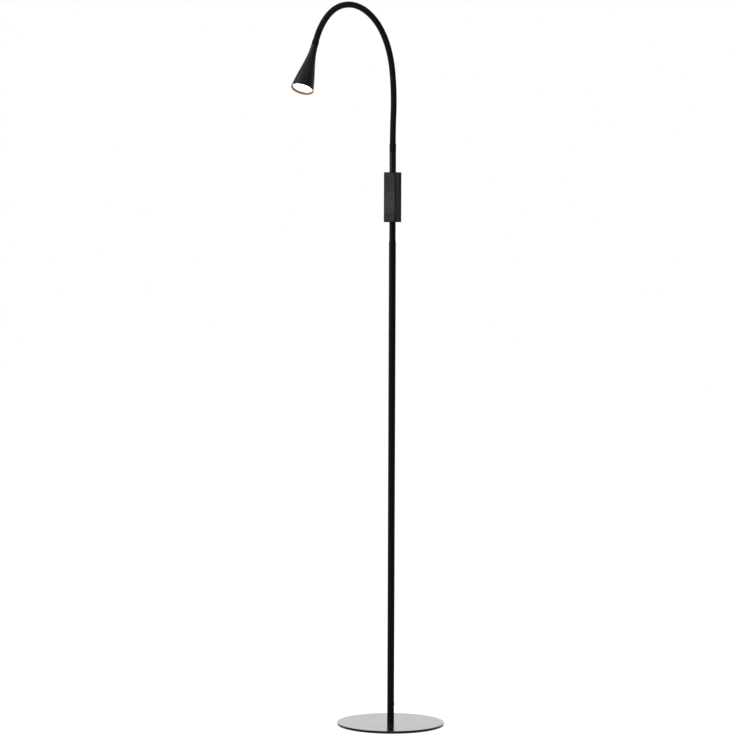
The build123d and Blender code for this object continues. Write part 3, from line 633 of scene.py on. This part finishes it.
def finish(
    name,
    colour,
    roughness,
    metallic=0.0,
    specular=0.5,
    coat=0.0,
    coat_roughness=0.1,
    coat_ior=1.5,
    grain=1500.0,
    relief=0.01 * MM,
    mottle=0.06,
    handling=0.05,
    turned=0.0,
    dust=0.0,
    glow=None,
):
    """A finish: its colour and gloss vary with grain, handling, turned rings and dust."""
    material = finishes[name] = bpy.data.materials.new(name)
    material.use_nodes = True
    tree = material.node_tree
    shader = tree.nodes["Principled BSDF"]
    shader.inputs["Metallic"].default_value = metallic
    shader.inputs["Specular IOR Level"].default_value = specular
    if coat:
        normal = add(tree, "ShaderNodeNewGeometry").outputs["Normal"]
        upward = add(tree, "ShaderNodeSeparateXYZ", {0: normal}).outputs["Z"]
        tree.links.new(spread(tree, upward, *COAT_FADE, 0.0, coat), shader.inputs["Coat Weight"])
    shader.inputs["Coat Roughness"].default_value = coat_roughness
    shader.inputs["Coat IOR"].default_value = coat_ior
    texture = effect(tree, "Fine grain", {"Scale": grain, "Mottle": mottle})
    paint = toned(tree, colour, texture)
    if dust:
        veil = effect(tree, "Settled dust", {"Amount": dust})
        paint = add(
            tree,
            "ShaderNodeMix",
            {0: veil.outputs["Mask"], 6: paint, 7: DUST_COLOUR},
            data_type="RGBA",
        ).outputs[2]
    tree.links.new(paint, shader.inputs["Base Color"])
    patches = effect(tree, "Handling")
    gloss = spread(tree, patches.outputs["Mask"], 0.0, 1.0, roughness - handling, roughness + handling)
    tree.links.new(gloss, shader.inputs["Roughness"])
    height = texture.outputs["Height"]
    if turned:
        rings = effect(tree, "Turned lines", {"Pitch": turned})
        height = add(
            tree, "ShaderNodeMath", {0: height, 1: rings.outputs["Height"]}, operation="ADD"
        ).outputs[0]
    feeds = {"Height": height, "Distance": relief, "Strength": BUMP_STRENGTH}
    bump = add(tree, "ShaderNodeBump", feeds)
    tree.links.new(bump.outputs["Normal"], shader.inputs["Normal"])
    if glow:
        strength, light = glow
        shader.inputs["Emission Color"].default_value = (*light, 1.0)
        shader.inputs["Emission Strength"].default_value = strength


def mix_finishes(colours, studio):
    """Make every finish, each under the name of its slot."""
    base = {"specular": 0.15, "coat": 1.0, "coat_roughness": 0.05, "coat_ior": 1.5}
    finish("base_paint", colours.base_paint, 0.16, **base, grain=500.0, relief=0.004 * MM, dust=0.03)
    finish("pole_paint", colours.pole_paint, 0.34, specular=0.035, grain=900.0, relief=0.004 * MM)
    finish("stub_paint", colours.pole_paint, 0.30, specular=0.03, grain=900.0, relief=0.004 * MM)
    finish("neck_tube_gloss", colours.pole_paint, 0.16, specular=0.07, grain=600.0, relief=0.002 * MM)
    finish("head_paint", colours.head_paint, 0.34, specular=0.06, grain=1100.0, relief=0.004 * MM)
    moulded = {"grain": 2200.0, "relief": 0.004 * MM}
    finish("housing_plastic", colours.housing_plastic, 0.30, specular=0.045, **moulded)
    finish("cap_plastic", (0.004, 0.004, 0.0042), 0.5, specular=0.03, grain=2200.0)
    finish("button_plastic", (0.014, 0.014, 0.015), 0.38, specular=0.08, grain=2500.0, turned=0.3 * MM)
    finish("bezel_metal", (0.016, 0.016, 0.0165), 0.42, metallic=1.0, turned=0.12 * MM)
    finish("indicator_plastic", (0.012, 0.012, 0.013), 0.3, specular=0.045, grain=2500.0)
    finish("sleeve_rubber", colours.sleeve_rubber, 0.62, specular=0.02, grain=2600.0, relief=0.02 * MM)
    finish("pad_foam", (0.02, 0.02, 0.02), 0.9, specular=0.2, grain=900.0, relief=0.15 * MM)
    finish("turned_brass", (0.71, 0.53, 0.25), 0.28, metallic=1.0, turned=0.15 * MM)
    finish("core_steel", (0.42, 0.42, 0.43), 0.36, metallic=1.0, grain=1800.0)
    finish("screw_steel", (0.055, 0.055, 0.058), 0.4, metallic=1.0, turned=0.15 * MM)
    finish("blackened_steel", (0.03, 0.03, 0.032), 0.36, metallic=1.0, turned=0.12 * MM)
    finish("sink_aluminium", (0.72, 0.72, 0.74), 0.34, metallic=1.0, grain=1600.0)
    finish("circuit_board", (0.02, 0.16, 0.06), 0.35, grain=700.0, mottle=0.25)
    finish("light_board", (0.85, 0.85, 0.86), 0.32, metallic=1.0, grain=1200.0)
    finish("chip_plastic", (0.02, 0.02, 0.022), 0.5, grain=2600.0)
    finish("ferrite", (0.08, 0.08, 0.085), 0.6, grain=1400.0, mottle=0.15)
    finish("capacitor_can", (0.62, 0.63, 0.66), 0.3, metallic=1.0, grain=1500.0)
    finish("terminal_plastic", (0.03, 0.22, 0.10), 0.42, grain=2200.0)
    finish("lead_insulation", (0.50, 0.03, 0.02), 0.4, grain=1800.0)
    finish("phosphor", (0.95, 0.78, 0.20), 0.5, grain=2500.0, mottle=0.12)
    finish("reflector_white", (0.85, 0.85, 0.84), 0.2, grain=900.0)
    # The mouth's lining and the window ring get a warm bronze colour that is painted light: the lamp's glow on a
    # black wall, not the wall's own colour.
    finish("mouth_bronze", colours.mouth_bronze, 0.5, grain=1500.0, turned=0.2 * MM)
    glow = (studio.window_strength, colours.lamp_light)
    finish("opal_plastic", (0.95, 0.94, 0.90), 0.45, grain=1800.0, glow=glow)


# ---- Pieces ----


def build_base(sizes):
    """The weighted disc and the thin pad under it."""
    low, high, bore, radius = measure("base_plate")
    drop = measure("base_screw")[3] - bore
    outline = (
        (bore, high, 0),
        (radius, high, sizes.base_edge),
        (radius, low, sizes.base_edge),
        (bore + drop, low, 0),
        (bore, low + drop, 0),
    )
    plate = solid("weighted_base", lathe(Matrix(), outline, True, BASE_SIDES))
    rigid(plate, "base_paint", "stand", "base_plate")
    low, high, _, radius = measure("base_pad")
    edge = (high - low) / 4
    outline = ((0, low, 0), (radius, low, edge), (radius, high, edge), (0, high, 0))
    pad = solid("base_underlay", lathe(Matrix(), outline, False, BASE_SIDES))
    rigid(pad, "pad_foam", "stand", "base_pad")


def tube_skin(node, edge):
    """A tube's skin, sized by its node, with its outer edges rounded."""
    low, high, bore, radius = measure(node)
    outline = ((bore, low, 0), (radius, low, edge), (radius, high, edge), (bore, high, 0))
    return lathe(Matrix(), outline, True)


def build_pole(sizes):
    """The two pole sections and the short tubes at both ends of the housing."""
    for name, node, slot in (
        ("pole_lower", "lower_pole", "pole_paint"),
        ("pole_upper", "upper_pole", "pole_paint"),
        ("pole_stub", "stub_tube", "stub_paint"),
        ("neck_tube_polished", "neck_tube", "neck_tube_gloss"),
    ):
        tube = solid(name, tube_skin(node, sizes.tube_edge))
        if node == "lower_pole":
            radius = measure(node)[3]
            low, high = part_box("power_inlet")
            hole = facing((0, 1, 0), (0, radius, low.z + high.x))
            cut(tube, drill(hole, INLET_BARREL, radius, SEAT_GAP))
        rigid(tube, slot, "stand", node)


def housing_places():
    """The places on the housing's faces: the button's, the indicator's and the two grub screws'."""
    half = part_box("housing_body")[1].x
    nodes = ("power_button", "indicator_lens")
    button, indicator = (sum(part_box(node), Vector()).z / 2 for node in nodes)
    lower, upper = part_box("grub_screws")
    return (
        facing((0, -1, 0), (0, -half, button)),
        facing((0, -1, 0), (0, -half, indicator)),
        facing((1, 0, 0), (half, 0, upper.z - GRUB_RADIUS)),
        facing((0, 1, 0), (0, half, lower.z + GRUB_RADIUS)),
    )


def build_housing(sizes):
    """The switch housing's body, with its holes."""
    low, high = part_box("housing_body")
    half = high.x
    inner = half - HOUSING_WALL
    outline = (
        (inner, low.z, 0),
        (half, low.z, sizes.housing_edge),
        (half, high.z, sizes.housing_edge),
        (inner, high.z, 0),
    )
    rings = []
    for radius, height in soften(outline):
        corner = max(HOUSING_INNER_CORNER, HOUSING_CORNER - half + radius)
        rings.append(square(Matrix(), radius, corner, height))
    body = solid("housing_case", skin(rings, True))
    button, indicator, side_grub, back_grub = housing_places()
    grub_hole = GRUB_RADIUS + 2 * SEAT_GAP
    for place, radius in (
        (button, BEZEL_WALL_RADIUS),
        (indicator, LENS_RADIUS + SEAT_GAP),
        (side_grub, grub_hole),
        (back_grub, grub_hole),
    ):
        cut(body, drill(place, radius, 2 * HOUSING_WALL, SEAT_GAP))
    rigid(body, "housing_plastic", "stand", "housing_body")
    boss = cap_screw_offset()
    outline = (
        (CAP_SCREW_SHANK, low.z, 0),
        (SCREW_BOSS_RADIUS, low.z, 0),
        (SCREW_BOSS_RADIUS, high.z, 0),
        (CAP_SCREW_SHANK, high.z, 0),
    )
    corners = [Matrix.Translation((x, y, 0)) for x in (-boss, boss) for y in (-boss, boss)]
    bosses = solid(
        "housing_screw_bosses", *[lathe(place, outline, True, SCREW_SIDES) for place in corners]
    )
    rigid(bosses, "housing_plastic", "stand", "housing_body")


def cap_screw_offset():
    """How far the cap screws stand from the housing's axis, each way."""
    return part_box("end_cap_screws")[1].x - CAP_SCREW_HEAD


def build_caps(sizes):
    """Both end caps, with their countersunk screws, and the grub screws that hold the tubes."""
    boss = cap_screw_offset()
    head_drop = CAP_SCREW_HEAD - CAP_SCREW_SHANK
    screws = []
    for name, node, tube_node, direction in (
        ("housing_cap_top", "top_end_cap", "neck_tube", 1),
        ("housing_cap_bottom", "bottom_end_cap", "stub_tube", -1),
    ):
        low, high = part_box(node)
        place = facing((0, 0, direction), (0, 0, high.z if direction > 0 else low.z))
        half = high.x
        depth = high.z - low.z
        body_low, body_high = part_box("housing_body")
        plate = high.z - body_high.z if direction > 0 else body_low.z - low.z
        bore = measure(tube_node)[3] + SEAT_GAP / 2
        rings = [round_in_square(place, bore, half, HOUSING_CORNER, -depth)]
        rings.append(round_in_square(place, bore, half, HOUSING_CORNER, -2 * SEAT_GAP))
        rings.append(round_in_square(place, bore + 2 * SEAT_GAP, half, HOUSING_CORNER, 0))
        outline = (
            (bore, 0, 0),
            (half, 0, sizes.cap_edge),
            (half, -plate, 1.5 * SEAT_GAP),
            (CAP_BOSS_RADIUS, -plate, 0),
        )
        for radius, height in soften(outline)[1:-1]:
            rings.append(square(place, radius, HOUSING_CORNER - half + radius, height))
        for height in (-plate, -depth):
            rings.append(round_in_square(place, CAP_BOSS_RADIUS, half, HOUSING_CORNER, height))
        cap = solid(name, skin(rings, True))
        for x in (-boss, boss):
            for y in (-boss, boss):
                hole = place @ Matrix.Translation((x, y, 0))
                cone = (
                    (0, -depth),
                    (CAP_SCREW_SHANK + SEAT_GAP, -depth),
                    (CAP_SCREW_SHANK + SEAT_GAP, -head_drop),
                    (CAP_SCREW_HEAD + SEAT_GAP, 0),
                    (CAP_SCREW_HEAD + SEAT_GAP, plate),
                    (0, plate),
                )
                cut(cap, skin([circle(hole, *point, SCREW_SIDES) for point in cone]))
                shank = (
                    (CAP_SCREW_HEAD - SEAT_GAP, 0),
                    (CAP_SCREW_HEAD, -SEAT_GAP),
                    (CAP_SCREW_SHANK, -head_drop - SEAT_GAP),
                    (CAP_SCREW_SHANK, -CAP_SCREW_LENGTH),
                    (0, -CAP_SCREW_LENGTH),
                )
                screws.append(key_screw(hole, CAP_SCREW_KEY, CAP_SCREW_KEY / 2, shank))
        rigid(cap, "cap_plastic", "stand", node)
    rigid(solid("cap_screws", *screws), slot_of["end_cap_screws"], "stand", "end_cap_screws")
    grubs = []
    for place in housing_places()[2:]:
        reaches = [(place.inverted() @ v.co).z for v in frame["nodes"]["grub_screws"].data.vertices]
        outer = max(reach for reach in reaches if reach < 0)
        length = -outer + place.translation.xy.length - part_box("neck_tube")[1].x
        grub_place = place @ Matrix.Translation((0, 0, outer))
        shank = (
            (GRUB_RADIUS - 2 * SEAT_GAP, 0),
            (GRUB_RADIUS, -2 * SEAT_GAP),
            (GRUB_RADIUS, -length + 2 * SEAT_GAP),
            (GRUB_RADIUS - 2 * SEAT_GAP, -length),
            (0, -length),
        )
        grubs.append(key_screw(grub_place, GRUB_KEY, GRUB_KEY_DEPTH, shank))
    rigid(solid("side_grub_screws", *grubs), slot_of["grub_screws"], "stand", "grub_screws")


def build_button(sizes):
    """The dished push button, its ring and the indicator's lens."""
    place, lens_place = housing_places()[:2]
    back, face, _, flange = measure("power_button", place)
    edge = 0.35 * MM
    dish_radius = BUTTON_RADIUS - edge
    steps = 6
    outline = [
        (dish_radius * step / steps, face - sizes.button_dish * (1 - (step / steps) ** 2), 0)
        for step in range(steps)
    ]
    outline += [
        (BUTTON_RADIUS, face, edge),
        (BUTTON_RADIUS, back + BUTTON_FLANGE, 0),
        (flange, back + BUTTON_FLANGE, 0),
        (flange, back, 0),
        (0, back, 0),
    ]
    button = solid("push_cap", lathe(place, outline))
    rigid(button, "button_plastic", "push_button", "power_button")
    back, face, bore, radius = measure("button_bezel", place)
    outline = (
        (bore, back, 0),
        (BEZEL_WALL_RADIUS, back, 0),
        (BEZEL_WALL_RADIUS, 0, 0),
        (radius, 0, 0),
        (radius, face, face * 0.6),
        (bore, face, face * 0.3),
    )
    rigid(solid("push_ring", lathe(place, outline, True)), "bezel_metal", "stand", "button_bezel")
    back, face, _, flange = measure("indicator_lens", lens_place)
    seat = -HOUSING_WALL - SEAT_GAP
    outline = (
        (0, face, 0),
        (LENS_RADIUS, face, face * 0.8),
        (LENS_RADIUS, seat, 0),
        (flange, seat, 0),
        (flange, seat - LENS_FLANGE, 0),
        (LENS_STEM, seat - LENS_FLANGE, 0),
        (LENS_STEM, back, 0),
        (0, back, 0),
    )
    rigid(solid("status_lens", lathe(lens_place, outline)), "indicator_plastic", "stand", "indicator_lens")


def sleeve_radius(reach):
    """The sleeve's outside radius at a reach along the neck: two cuffs with a smooth taper between."""
    past = max(-reach, reach - NECK_LENGTH, 0.0)
    share = min(past / CUFF_TAPER, 1.0)
    return SLEEVE_RADIUS + (CUFF_RADIUS - SLEEVE_RADIUS) * share * share * (3 - 2 * share)


def cell_reaches(cell, foot, tip):
    """Reaches along one cell of the neck, from the neck's foot in the first and to its tip in the last."""
    start = (cell - 1) * CELL_LENGTH
    reaches = [start + CELL_LENGTH * step / CELL_STEPS for step in range(CELL_STEPS + 1)]
    ends = [CUFF_TAPER * step / CELL_STEPS for step in range(1, CELL_STEPS + 1)]
    if cell == 1:
        reaches = [-foot] + [-reach for reach in reversed(ends) if reach < foot] + reaches
    if cell == CELL_COUNT:
        reaches += [start + CELL_LENGTH + reach for reach in ends if reach < tip]
        reaches.append(start + CELL_LENGTH + tip)
    return reaches


def build_neck(sizes):
    """The soft sleeve, in one piece for each cell, and the wound core's links in it."""
    cuff_edge = 0.3 * MM

    def sleeve(reaches):
        outer = [(sleeve_radius(reach), reach) for reach in reaches]
        if reaches[0] < 0:
            radius, reach = outer[0]
            outer[0] = (radius, reach + cuff_edge)
            outer.insert(0, (radius - cuff_edge, reach))
        if reaches[-1] > NECK_LENGTH + cuff_edge:
            radius, reach = outer[-1]
            outer[-1] = (radius, reach - cuff_edge)
            outer.append((radius - cuff_edge, reach))
        inner = [(sleeve_radius(reach) - sizes.sleeve_skin, reach) for reach in reversed(reaches)]
        return [skin([circle(neck_place(reach), radius, 0) for radius, reach in outer + inner], True)]

    for cell in range(1, CELL_COUNT + 1):
        reaches = cell_reaches(cell, CUFF_LENGTH, HEAD_CUFF_LENGTH)
        bending(f"sleeve_{cell:02d}", "sleeve_rubber", cell, "neck_sleeve", reaches, sleeve)
    half_link = CELL_LENGTH / 2 - CORE_HALF_GAP
    for link in range(CELL_COUNT + 1):
        middle = link * CELL_LENGTH
        start = CORE_FOOT if link == 0 else middle - half_link
        end = NECK_LENGTH + CORE_TIP if link == CELL_COUNT else middle + half_link
        turns = round((end - start) / sizes.core_pitch)
        outer = []
        for step in range(4 * turns + 1):
            across = 1 - abs(step % 4 / 2 - 1) * 2
            groove = sizes.core_groove * (1 - math.sqrt(max(1 - across**2, 0)))
            outer.append((CORE_RADIUS - groove, start + (end - start) * step / (4 * turns)))
        inner = [(CORE_BORE, reach) for _, reach in reversed(outer[::4])]
        rings = [circle(neck_place(reach), radius, 0, CORE_SIDES) for radius, reach in outer + inner]
        node = {0: "neck_core_root", CELL_COUNT: "neck_core_tip"}.get(link, f"neck_core_{link:02d}")
        wound = solid(f"core_link_{link:02d}", skin(rings, True))
        rigid(wound, slot_of[node], neck_body(link), node)


def build_leads():
    """The two leads through the neck, in one piece for each cell."""
    head_place = neck_place(NECK_LENGTH)
    foot = NECK_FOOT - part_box("neck_leads")[0].z
    tip = measure("neck_leads", head_place)[1]

    def strands(reaches):
        skins = []
        for side in (-LEAD_OFFSET, LEAD_OFFSET):
            shift = Matrix.Translation((side, 0, 0))
            places = [neck_place(reach) @ shift for reach in reaches]
            rings = [circle(place, LEAD_RADIUS, 0, LEAD_SIDES) for place in places]
            skins.append(skin([circle(places[0], 0, 0)] + rings + [circle(places[-1], 0, 0)]))
        return skins

    for cell in range(1, CELL_COUNT + 1):
        reaches = cell_reaches(cell, foot, tip)
        bending(f"leads_{cell:02d}", slot_of["neck_leads"], cell, "neck_leads", reaches, strands)


def build_head(sizes):
    """The flared shell, whose mouth lining has the lamp's warm glow painted on, the lit window and the ring that
    holds it.
    """
    place = neck_place(NECK_LENGTH)
    start, end, _, mouth = measure("head_shell", place)
    window_back, window_front = measure("diffuser", place)[:2]
    ring_front = measure("diffuser_ring", place)[1]
    sink_back = measure("led_board", place)[0] - SINK_PLATE

    def shell(share):
        return CUFF_RADIUS + (mouth - CUFF_RADIUS) * (3 * HEAD_FLARE * share**2 * (1 - share) + share**3)

    def shell_at(reach):
        return shell((reach - start) / (end - start))

    seat = shell_at(window_back) - MOUTH_LIP
    shares = [step / SHELL_STEPS for step in range(1, SHELL_STEPS)]
    outline = [(HEAD_BORE, start, 0), (CUFF_RADIUS, start, sizes.rim_edge)]
    outline += [(shell(share), start + share * (end - start), 0) for share in shares]
    outline += [
        (mouth, end, sizes.rim_edge),
        (mouth - MOUTH_LIP, end, sizes.rim_edge),
        (seat, ring_front, 0),
        (seat, window_back, 0),
        (shell_at(window_back) - HEAD_WALL, window_back, 0),
    ]
    hollow_start = start + HEAD_SOLID
    for begin, finish_at, wall in (
        (window_back, sink_back, HEAD_WALL),
        (sink_back, hollow_start, HEAD_WALL + HEAD_LEDGE),
    ):
        for step in range(SHELL_STEPS // 4 + 1):
            reach = begin + (finish_at - begin) * step / (SHELL_STEPS // 4)
            outline.append((shell_at(reach) - wall, reach, 0))
    outline.append((HEAD_BORE, hollow_start, 0))
    cone = solid("head_cone", lathe(place, outline, True, 2 * SIDES))
    cone.data.materials.append(finishes["head_paint"])
    # The faces inside the mouth, in front of the window, get the warm bronze colour: painted light that stands for
    # the lamp's glow on the black inner wall.
    cone.data.materials.append(finishes["mouth_bronze"])
    inverse = place.inverted()
    for polygon in cone.data.polygons:
        middle = inverse @ polygon.center
        lip = mouth - MOUTH_LIP
        if middle.z > window_back and middle.xy.length < lip:
            polygon.material_index = 1
    rigid(cone, "head_paint", "lamp_head", "head_shell")

    radius = measure("diffuser", place)[3]
    dome = 0.5 * MM
    steps = 8
    outline = [(0, window_back, 0), (radius, window_back, 0), (radius, window_front - dome, 0)]
    outline += [
        (radius * share, window_front - dome * share**2, 0)
        for share in (1 - step / steps for step in range(1, steps + 1))
    ]
    rigid(solid("light_window", lathe(place, outline)), "opal_plastic", "lamp_head", "diffuser")
    back, front, bore, radius = measure("diffuser_ring", place)
    edge = (front - back) / 4
    outline = ((bore, back, 0), (radius, back, 0), (radius, front, edge), (bore, front, edge))
    # The ring round the window gets the same warm bronze colour, the lamp's glow painted on it.
    ring = solid("window_ring", lathe(place, outline, True, 2 * SIDES))
    rigid(ring, "mouth_bronze", "lamp_head", "diffuser_ring")


def finish_kept_nodes():
    """Give every CAD node its finish, also those that another piece stands for."""
    for name, node in frame["nodes"].items():
        for material_slot in node.material_slots:
            material_slot.material = finishes[slot_of[name]]


# ---- Studio ----


def soft_light(name, power, width, height, place, target):
    """A rectangular soft light that looks at a target."""
    data = bpy.data.lights.new(name, "AREA")
    data.shape = "RECTANGLE"
    data.size, data.size_y = width, height
    data.energy = power
    light = bpy.data.objects.new(name, data)
    bpy.context.scene.collection.objects.link(light)
    light.location = place
    light.rotation_euler = (Vector(target) - Vector(place)).to_track_quat("-Z", "Y").to_euler()
    light.visible_camera = False
    return light


def shown_as(tree, lighting, shown, output):
    """End a tree with one shader for light, and another for rays that show the background."""
    path = add(tree, "ShaderNodeLightPath")
    seen = path.outputs["Is Camera Ray"]
    for label in ("Is Glossy Ray", "Is Transmission Ray"):
        larger = add(tree, "ShaderNodeMath", {0: seen, 1: path.outputs[label]}, operation="MAXIMUM")
        seen = larger.outputs[0]
    feeds = {0: seen, 1: lighting.outputs[0], 2: shown.outputs[0]}
    mixed = add(tree, "ShaderNodeMixShader", feeds)
    tree.links.new(mixed.outputs[0], tree.nodes[output].inputs["Surface"])


def build_studio(studio):
    """The camera, the pale floor, the white room and three soft lights."""
    camera = bpy.data.objects.new("camera", bpy.data.cameras.new("camera"))
    bpy.context.scene.collection.objects.link(camera)
    camera.data.lens = CAMERA_LENS
    camera.location = CAMERA_PLACE
    turn, tilt, roll = (math.radians(angle) for angle in (CAMERA_TURN, CAMERA_TILT, CAMERA_ROLL))
    view = Matrix.Rotation(turn, 4, "Z") @ Matrix.Rotation(tilt, 4, "X") @ Matrix.Rotation(roll, 4, "Z")
    camera.rotation_euler = view.to_euler()
    bpy.context.scene.camera = camera
    bpy.context.scene.view_settings.view_transform = "Standard"

    corners = [Vector((x, y, 0)) for x, y in FLOOR_CORNERS]
    floor = solid("floor", (corners, [(0, 1, 2, 3)], [0.0] * 4))
    floor.scale = (FLOOR_REACH, FLOOR_REACH, 1)
    material = bpy.data.materials.new("pale_floor")
    material.use_nodes = True
    tree = material.node_tree
    shader = tree.nodes["Principled BSDF"]
    shader.inputs["Roughness"].default_value = 0.9
    shader.inputs["Specular IOR Level"].default_value = 0.0
    texture = effect(tree, "Fine grain", {"Scale": 60.0, "Mottle": 0.01})
    pale = toned(tree, (FLOOR_TONE, FLOOR_TONE, FLOOR_TONE), texture)
    tree.links.new(pale, shader.inputs["Base Color"])
    white = add(tree, "ShaderNodeEmission", {"Color": (1, 1, 1, 1), "Strength": FLOOR_WHITE})
    veil = add(tree, "ShaderNodeAddShader", {0: white.outputs[0]})
    thin = add(tree, "ShaderNodeBsdfDiffuse", {"Color": (FLOOR_SHADE, FLOOR_SHADE, FLOOR_SHADE, 1)})
    tree.links.new(thin.outputs[0], veil.inputs[1])
    shown_as(tree, shader, veil, "Material Output")
    floor.data.materials.append(material)

    world = bpy.data.worlds.new("white_room")
    world.use_nodes = True
    bpy.context.scene.world = world
    tree = world.node_tree
    room = tree.nodes["Background"]
    room.inputs["Color"].default_value = (1, 1, 1, 1)
    room.inputs["Strength"].default_value = studio.room_level
    white = add(tree, "ShaderNodeBackground", {"Color": (1, 1, 1, 1), "Strength": 1.0})
    shown_as(tree, room, white, "World Output")

    soft_light("key", studio.key_power, *KEY_SIZE, KEY_PLACE, KEY_TARGET)
    soft_light("top", studio.top_power, *TOP_SIZE, TOP_PLACE, KEY_TARGET)
    soft_light("high", studio.high_power, *HIGH_SIZE, HIGH_PLACE, HIGH_TARGET)


# ---- Operators ----


class LAMP_OT_finishes(bpy.types.Operator):
    """Mix every finish and give the CAD nodes theirs"""

    bl_idname = "lamp.finishes"
    bl_label = "Mix Finishes"

    def execute(self, context):
        build_groups()
        mix_finishes(context.scene.lamp_colours, context.scene.lamp_studio)
        finish_kept_nodes()
        return {"FINISHED"}


class LAMP_OT_base(bpy.types.Operator):
    """Build the weighted base and its pad"""

    bl_idname = "lamp.base"
    bl_label = "Build Base"

    def execute(self, context):
        build_base(context.scene.lamp_sizes)
        return {"FINISHED"}


class LAMP_OT_pole(bpy.types.Operator):
    """Build the pole's sections and the short tubes"""

    bl_idname = "lamp.pole"
    bl_label = "Build Pole"

    def execute(self, context):
        build_pole(context.scene.lamp_sizes)
        return {"FINISHED"}


class LAMP_OT_housing(bpy.types.Operator):
    """Build the switch housing's body"""

    bl_idname = "lamp.housing"
    bl_label = "Build Housing"

    def execute(self, context):
        build_housing(context.scene.lamp_sizes)
        return {"FINISHED"}


class LAMP_OT_caps(bpy.types.Operator):
    """Build the end caps and every screw of the housing"""

    bl_idname = "lamp.caps"
    bl_label = "Build Caps and Screws"

    def execute(self, context):
        build_caps(context.scene.lamp_sizes)
        return {"FINISHED"}


class LAMP_OT_button(bpy.types.Operator):
    """Build the push button, its ring and the indicator's lens"""

    bl_idname = "lamp.button"
    bl_label = "Build Button"

    def execute(self, context):
        build_button(context.scene.lamp_sizes)
        return {"FINISHED"}


class LAMP_OT_neck(bpy.types.Operator):
    """Build the bendable neck's sleeve and core"""

    bl_idname = "lamp.neck"
    bl_label = "Build Neck"

    def execute(self, context):
        build_neck(context.scene.lamp_sizes)
        return {"FINISHED"}


class LAMP_OT_leads(bpy.types.Operator):
    """Build the leads through the neck"""

    bl_idname = "lamp.leads"
    bl_label = "Build Leads"

    def execute(self, context):
        build_leads()
        return {"FINISHED"}


class LAMP_OT_head(bpy.types.Operator):
    """Build the head's shell and its lit window"""

    bl_idname = "lamp.head"
    bl_label = "Build Head"

    def execute(self, context):
        build_head(context.scene.lamp_sizes)
        return {"FINISHED"}


class LAMP_OT_studio(bpy.types.Operator):
    """Build the camera, floor and lights"""

    bl_idname = "lamp.studio"
    bl_label = "Build Studio"

    def execute(self, context):
        build_studio(context.scene.lamp_studio)
        return {"FINISHED"}


OPERATORS = (
    LAMP_OT_finishes,
    LAMP_OT_base,
    LAMP_OT_pole,
    LAMP_OT_housing,
    LAMP_OT_caps,
    LAMP_OT_button,
    LAMP_OT_neck,
    LAMP_OT_leads,
    LAMP_OT_head,
    LAMP_OT_studio,
)
PROPERTY_GROUPS = (
    ("lamp_sizes", LampSizes),
    ("lamp_colours", LampColours),
    ("lamp_studio", LampStudio),
)


class LAMP_PT_panel(bpy.types.Panel):
    """The lamp's values and the buttons that build it"""

    bl_idname = "LAMP_PT_panel"
    bl_label = "Reading Floor Lamp"
    bl_space_type = "VIEW_3D"
    bl_region_type = "UI"
    bl_category = "Floor Lamp"

    def draw(self, context):
        for attribute, group in PROPERTY_GROUPS:
            box = self.layout.box()
            for name in group.__annotations__:
                box.prop(getattr(context.scene, attribute), name)
        for operator in OPERATORS:
            self.layout.operator(operator.bl_idname)


def register():
    for attribute, group in PROPERTY_GROUPS:
        bpy.utils.register_class(group)
        setattr(bpy.types.Scene, attribute, PointerProperty(type=group))
    for cls in (*OPERATORS, LAMP_PT_panel):
        bpy.utils.register_class(cls)


def unregister():
    for cls in reversed((*OPERATORS, LAMP_PT_panel)):
        bpy.utils.unregister_class(cls)
    for attribute, group in reversed(PROPERTY_GROUPS):
        delattr(bpy.types.Scene, attribute)
        bpy.utils.unregister_class(group)


def main():
    """Build the whole lamp and its studio."""
    register()
    for operator in OPERATORS:
        family, name = operator.bl_idname.split(".")
        getattr(getattr(bpy.ops, family), name)()


if __name__ == "__main__":
    main()
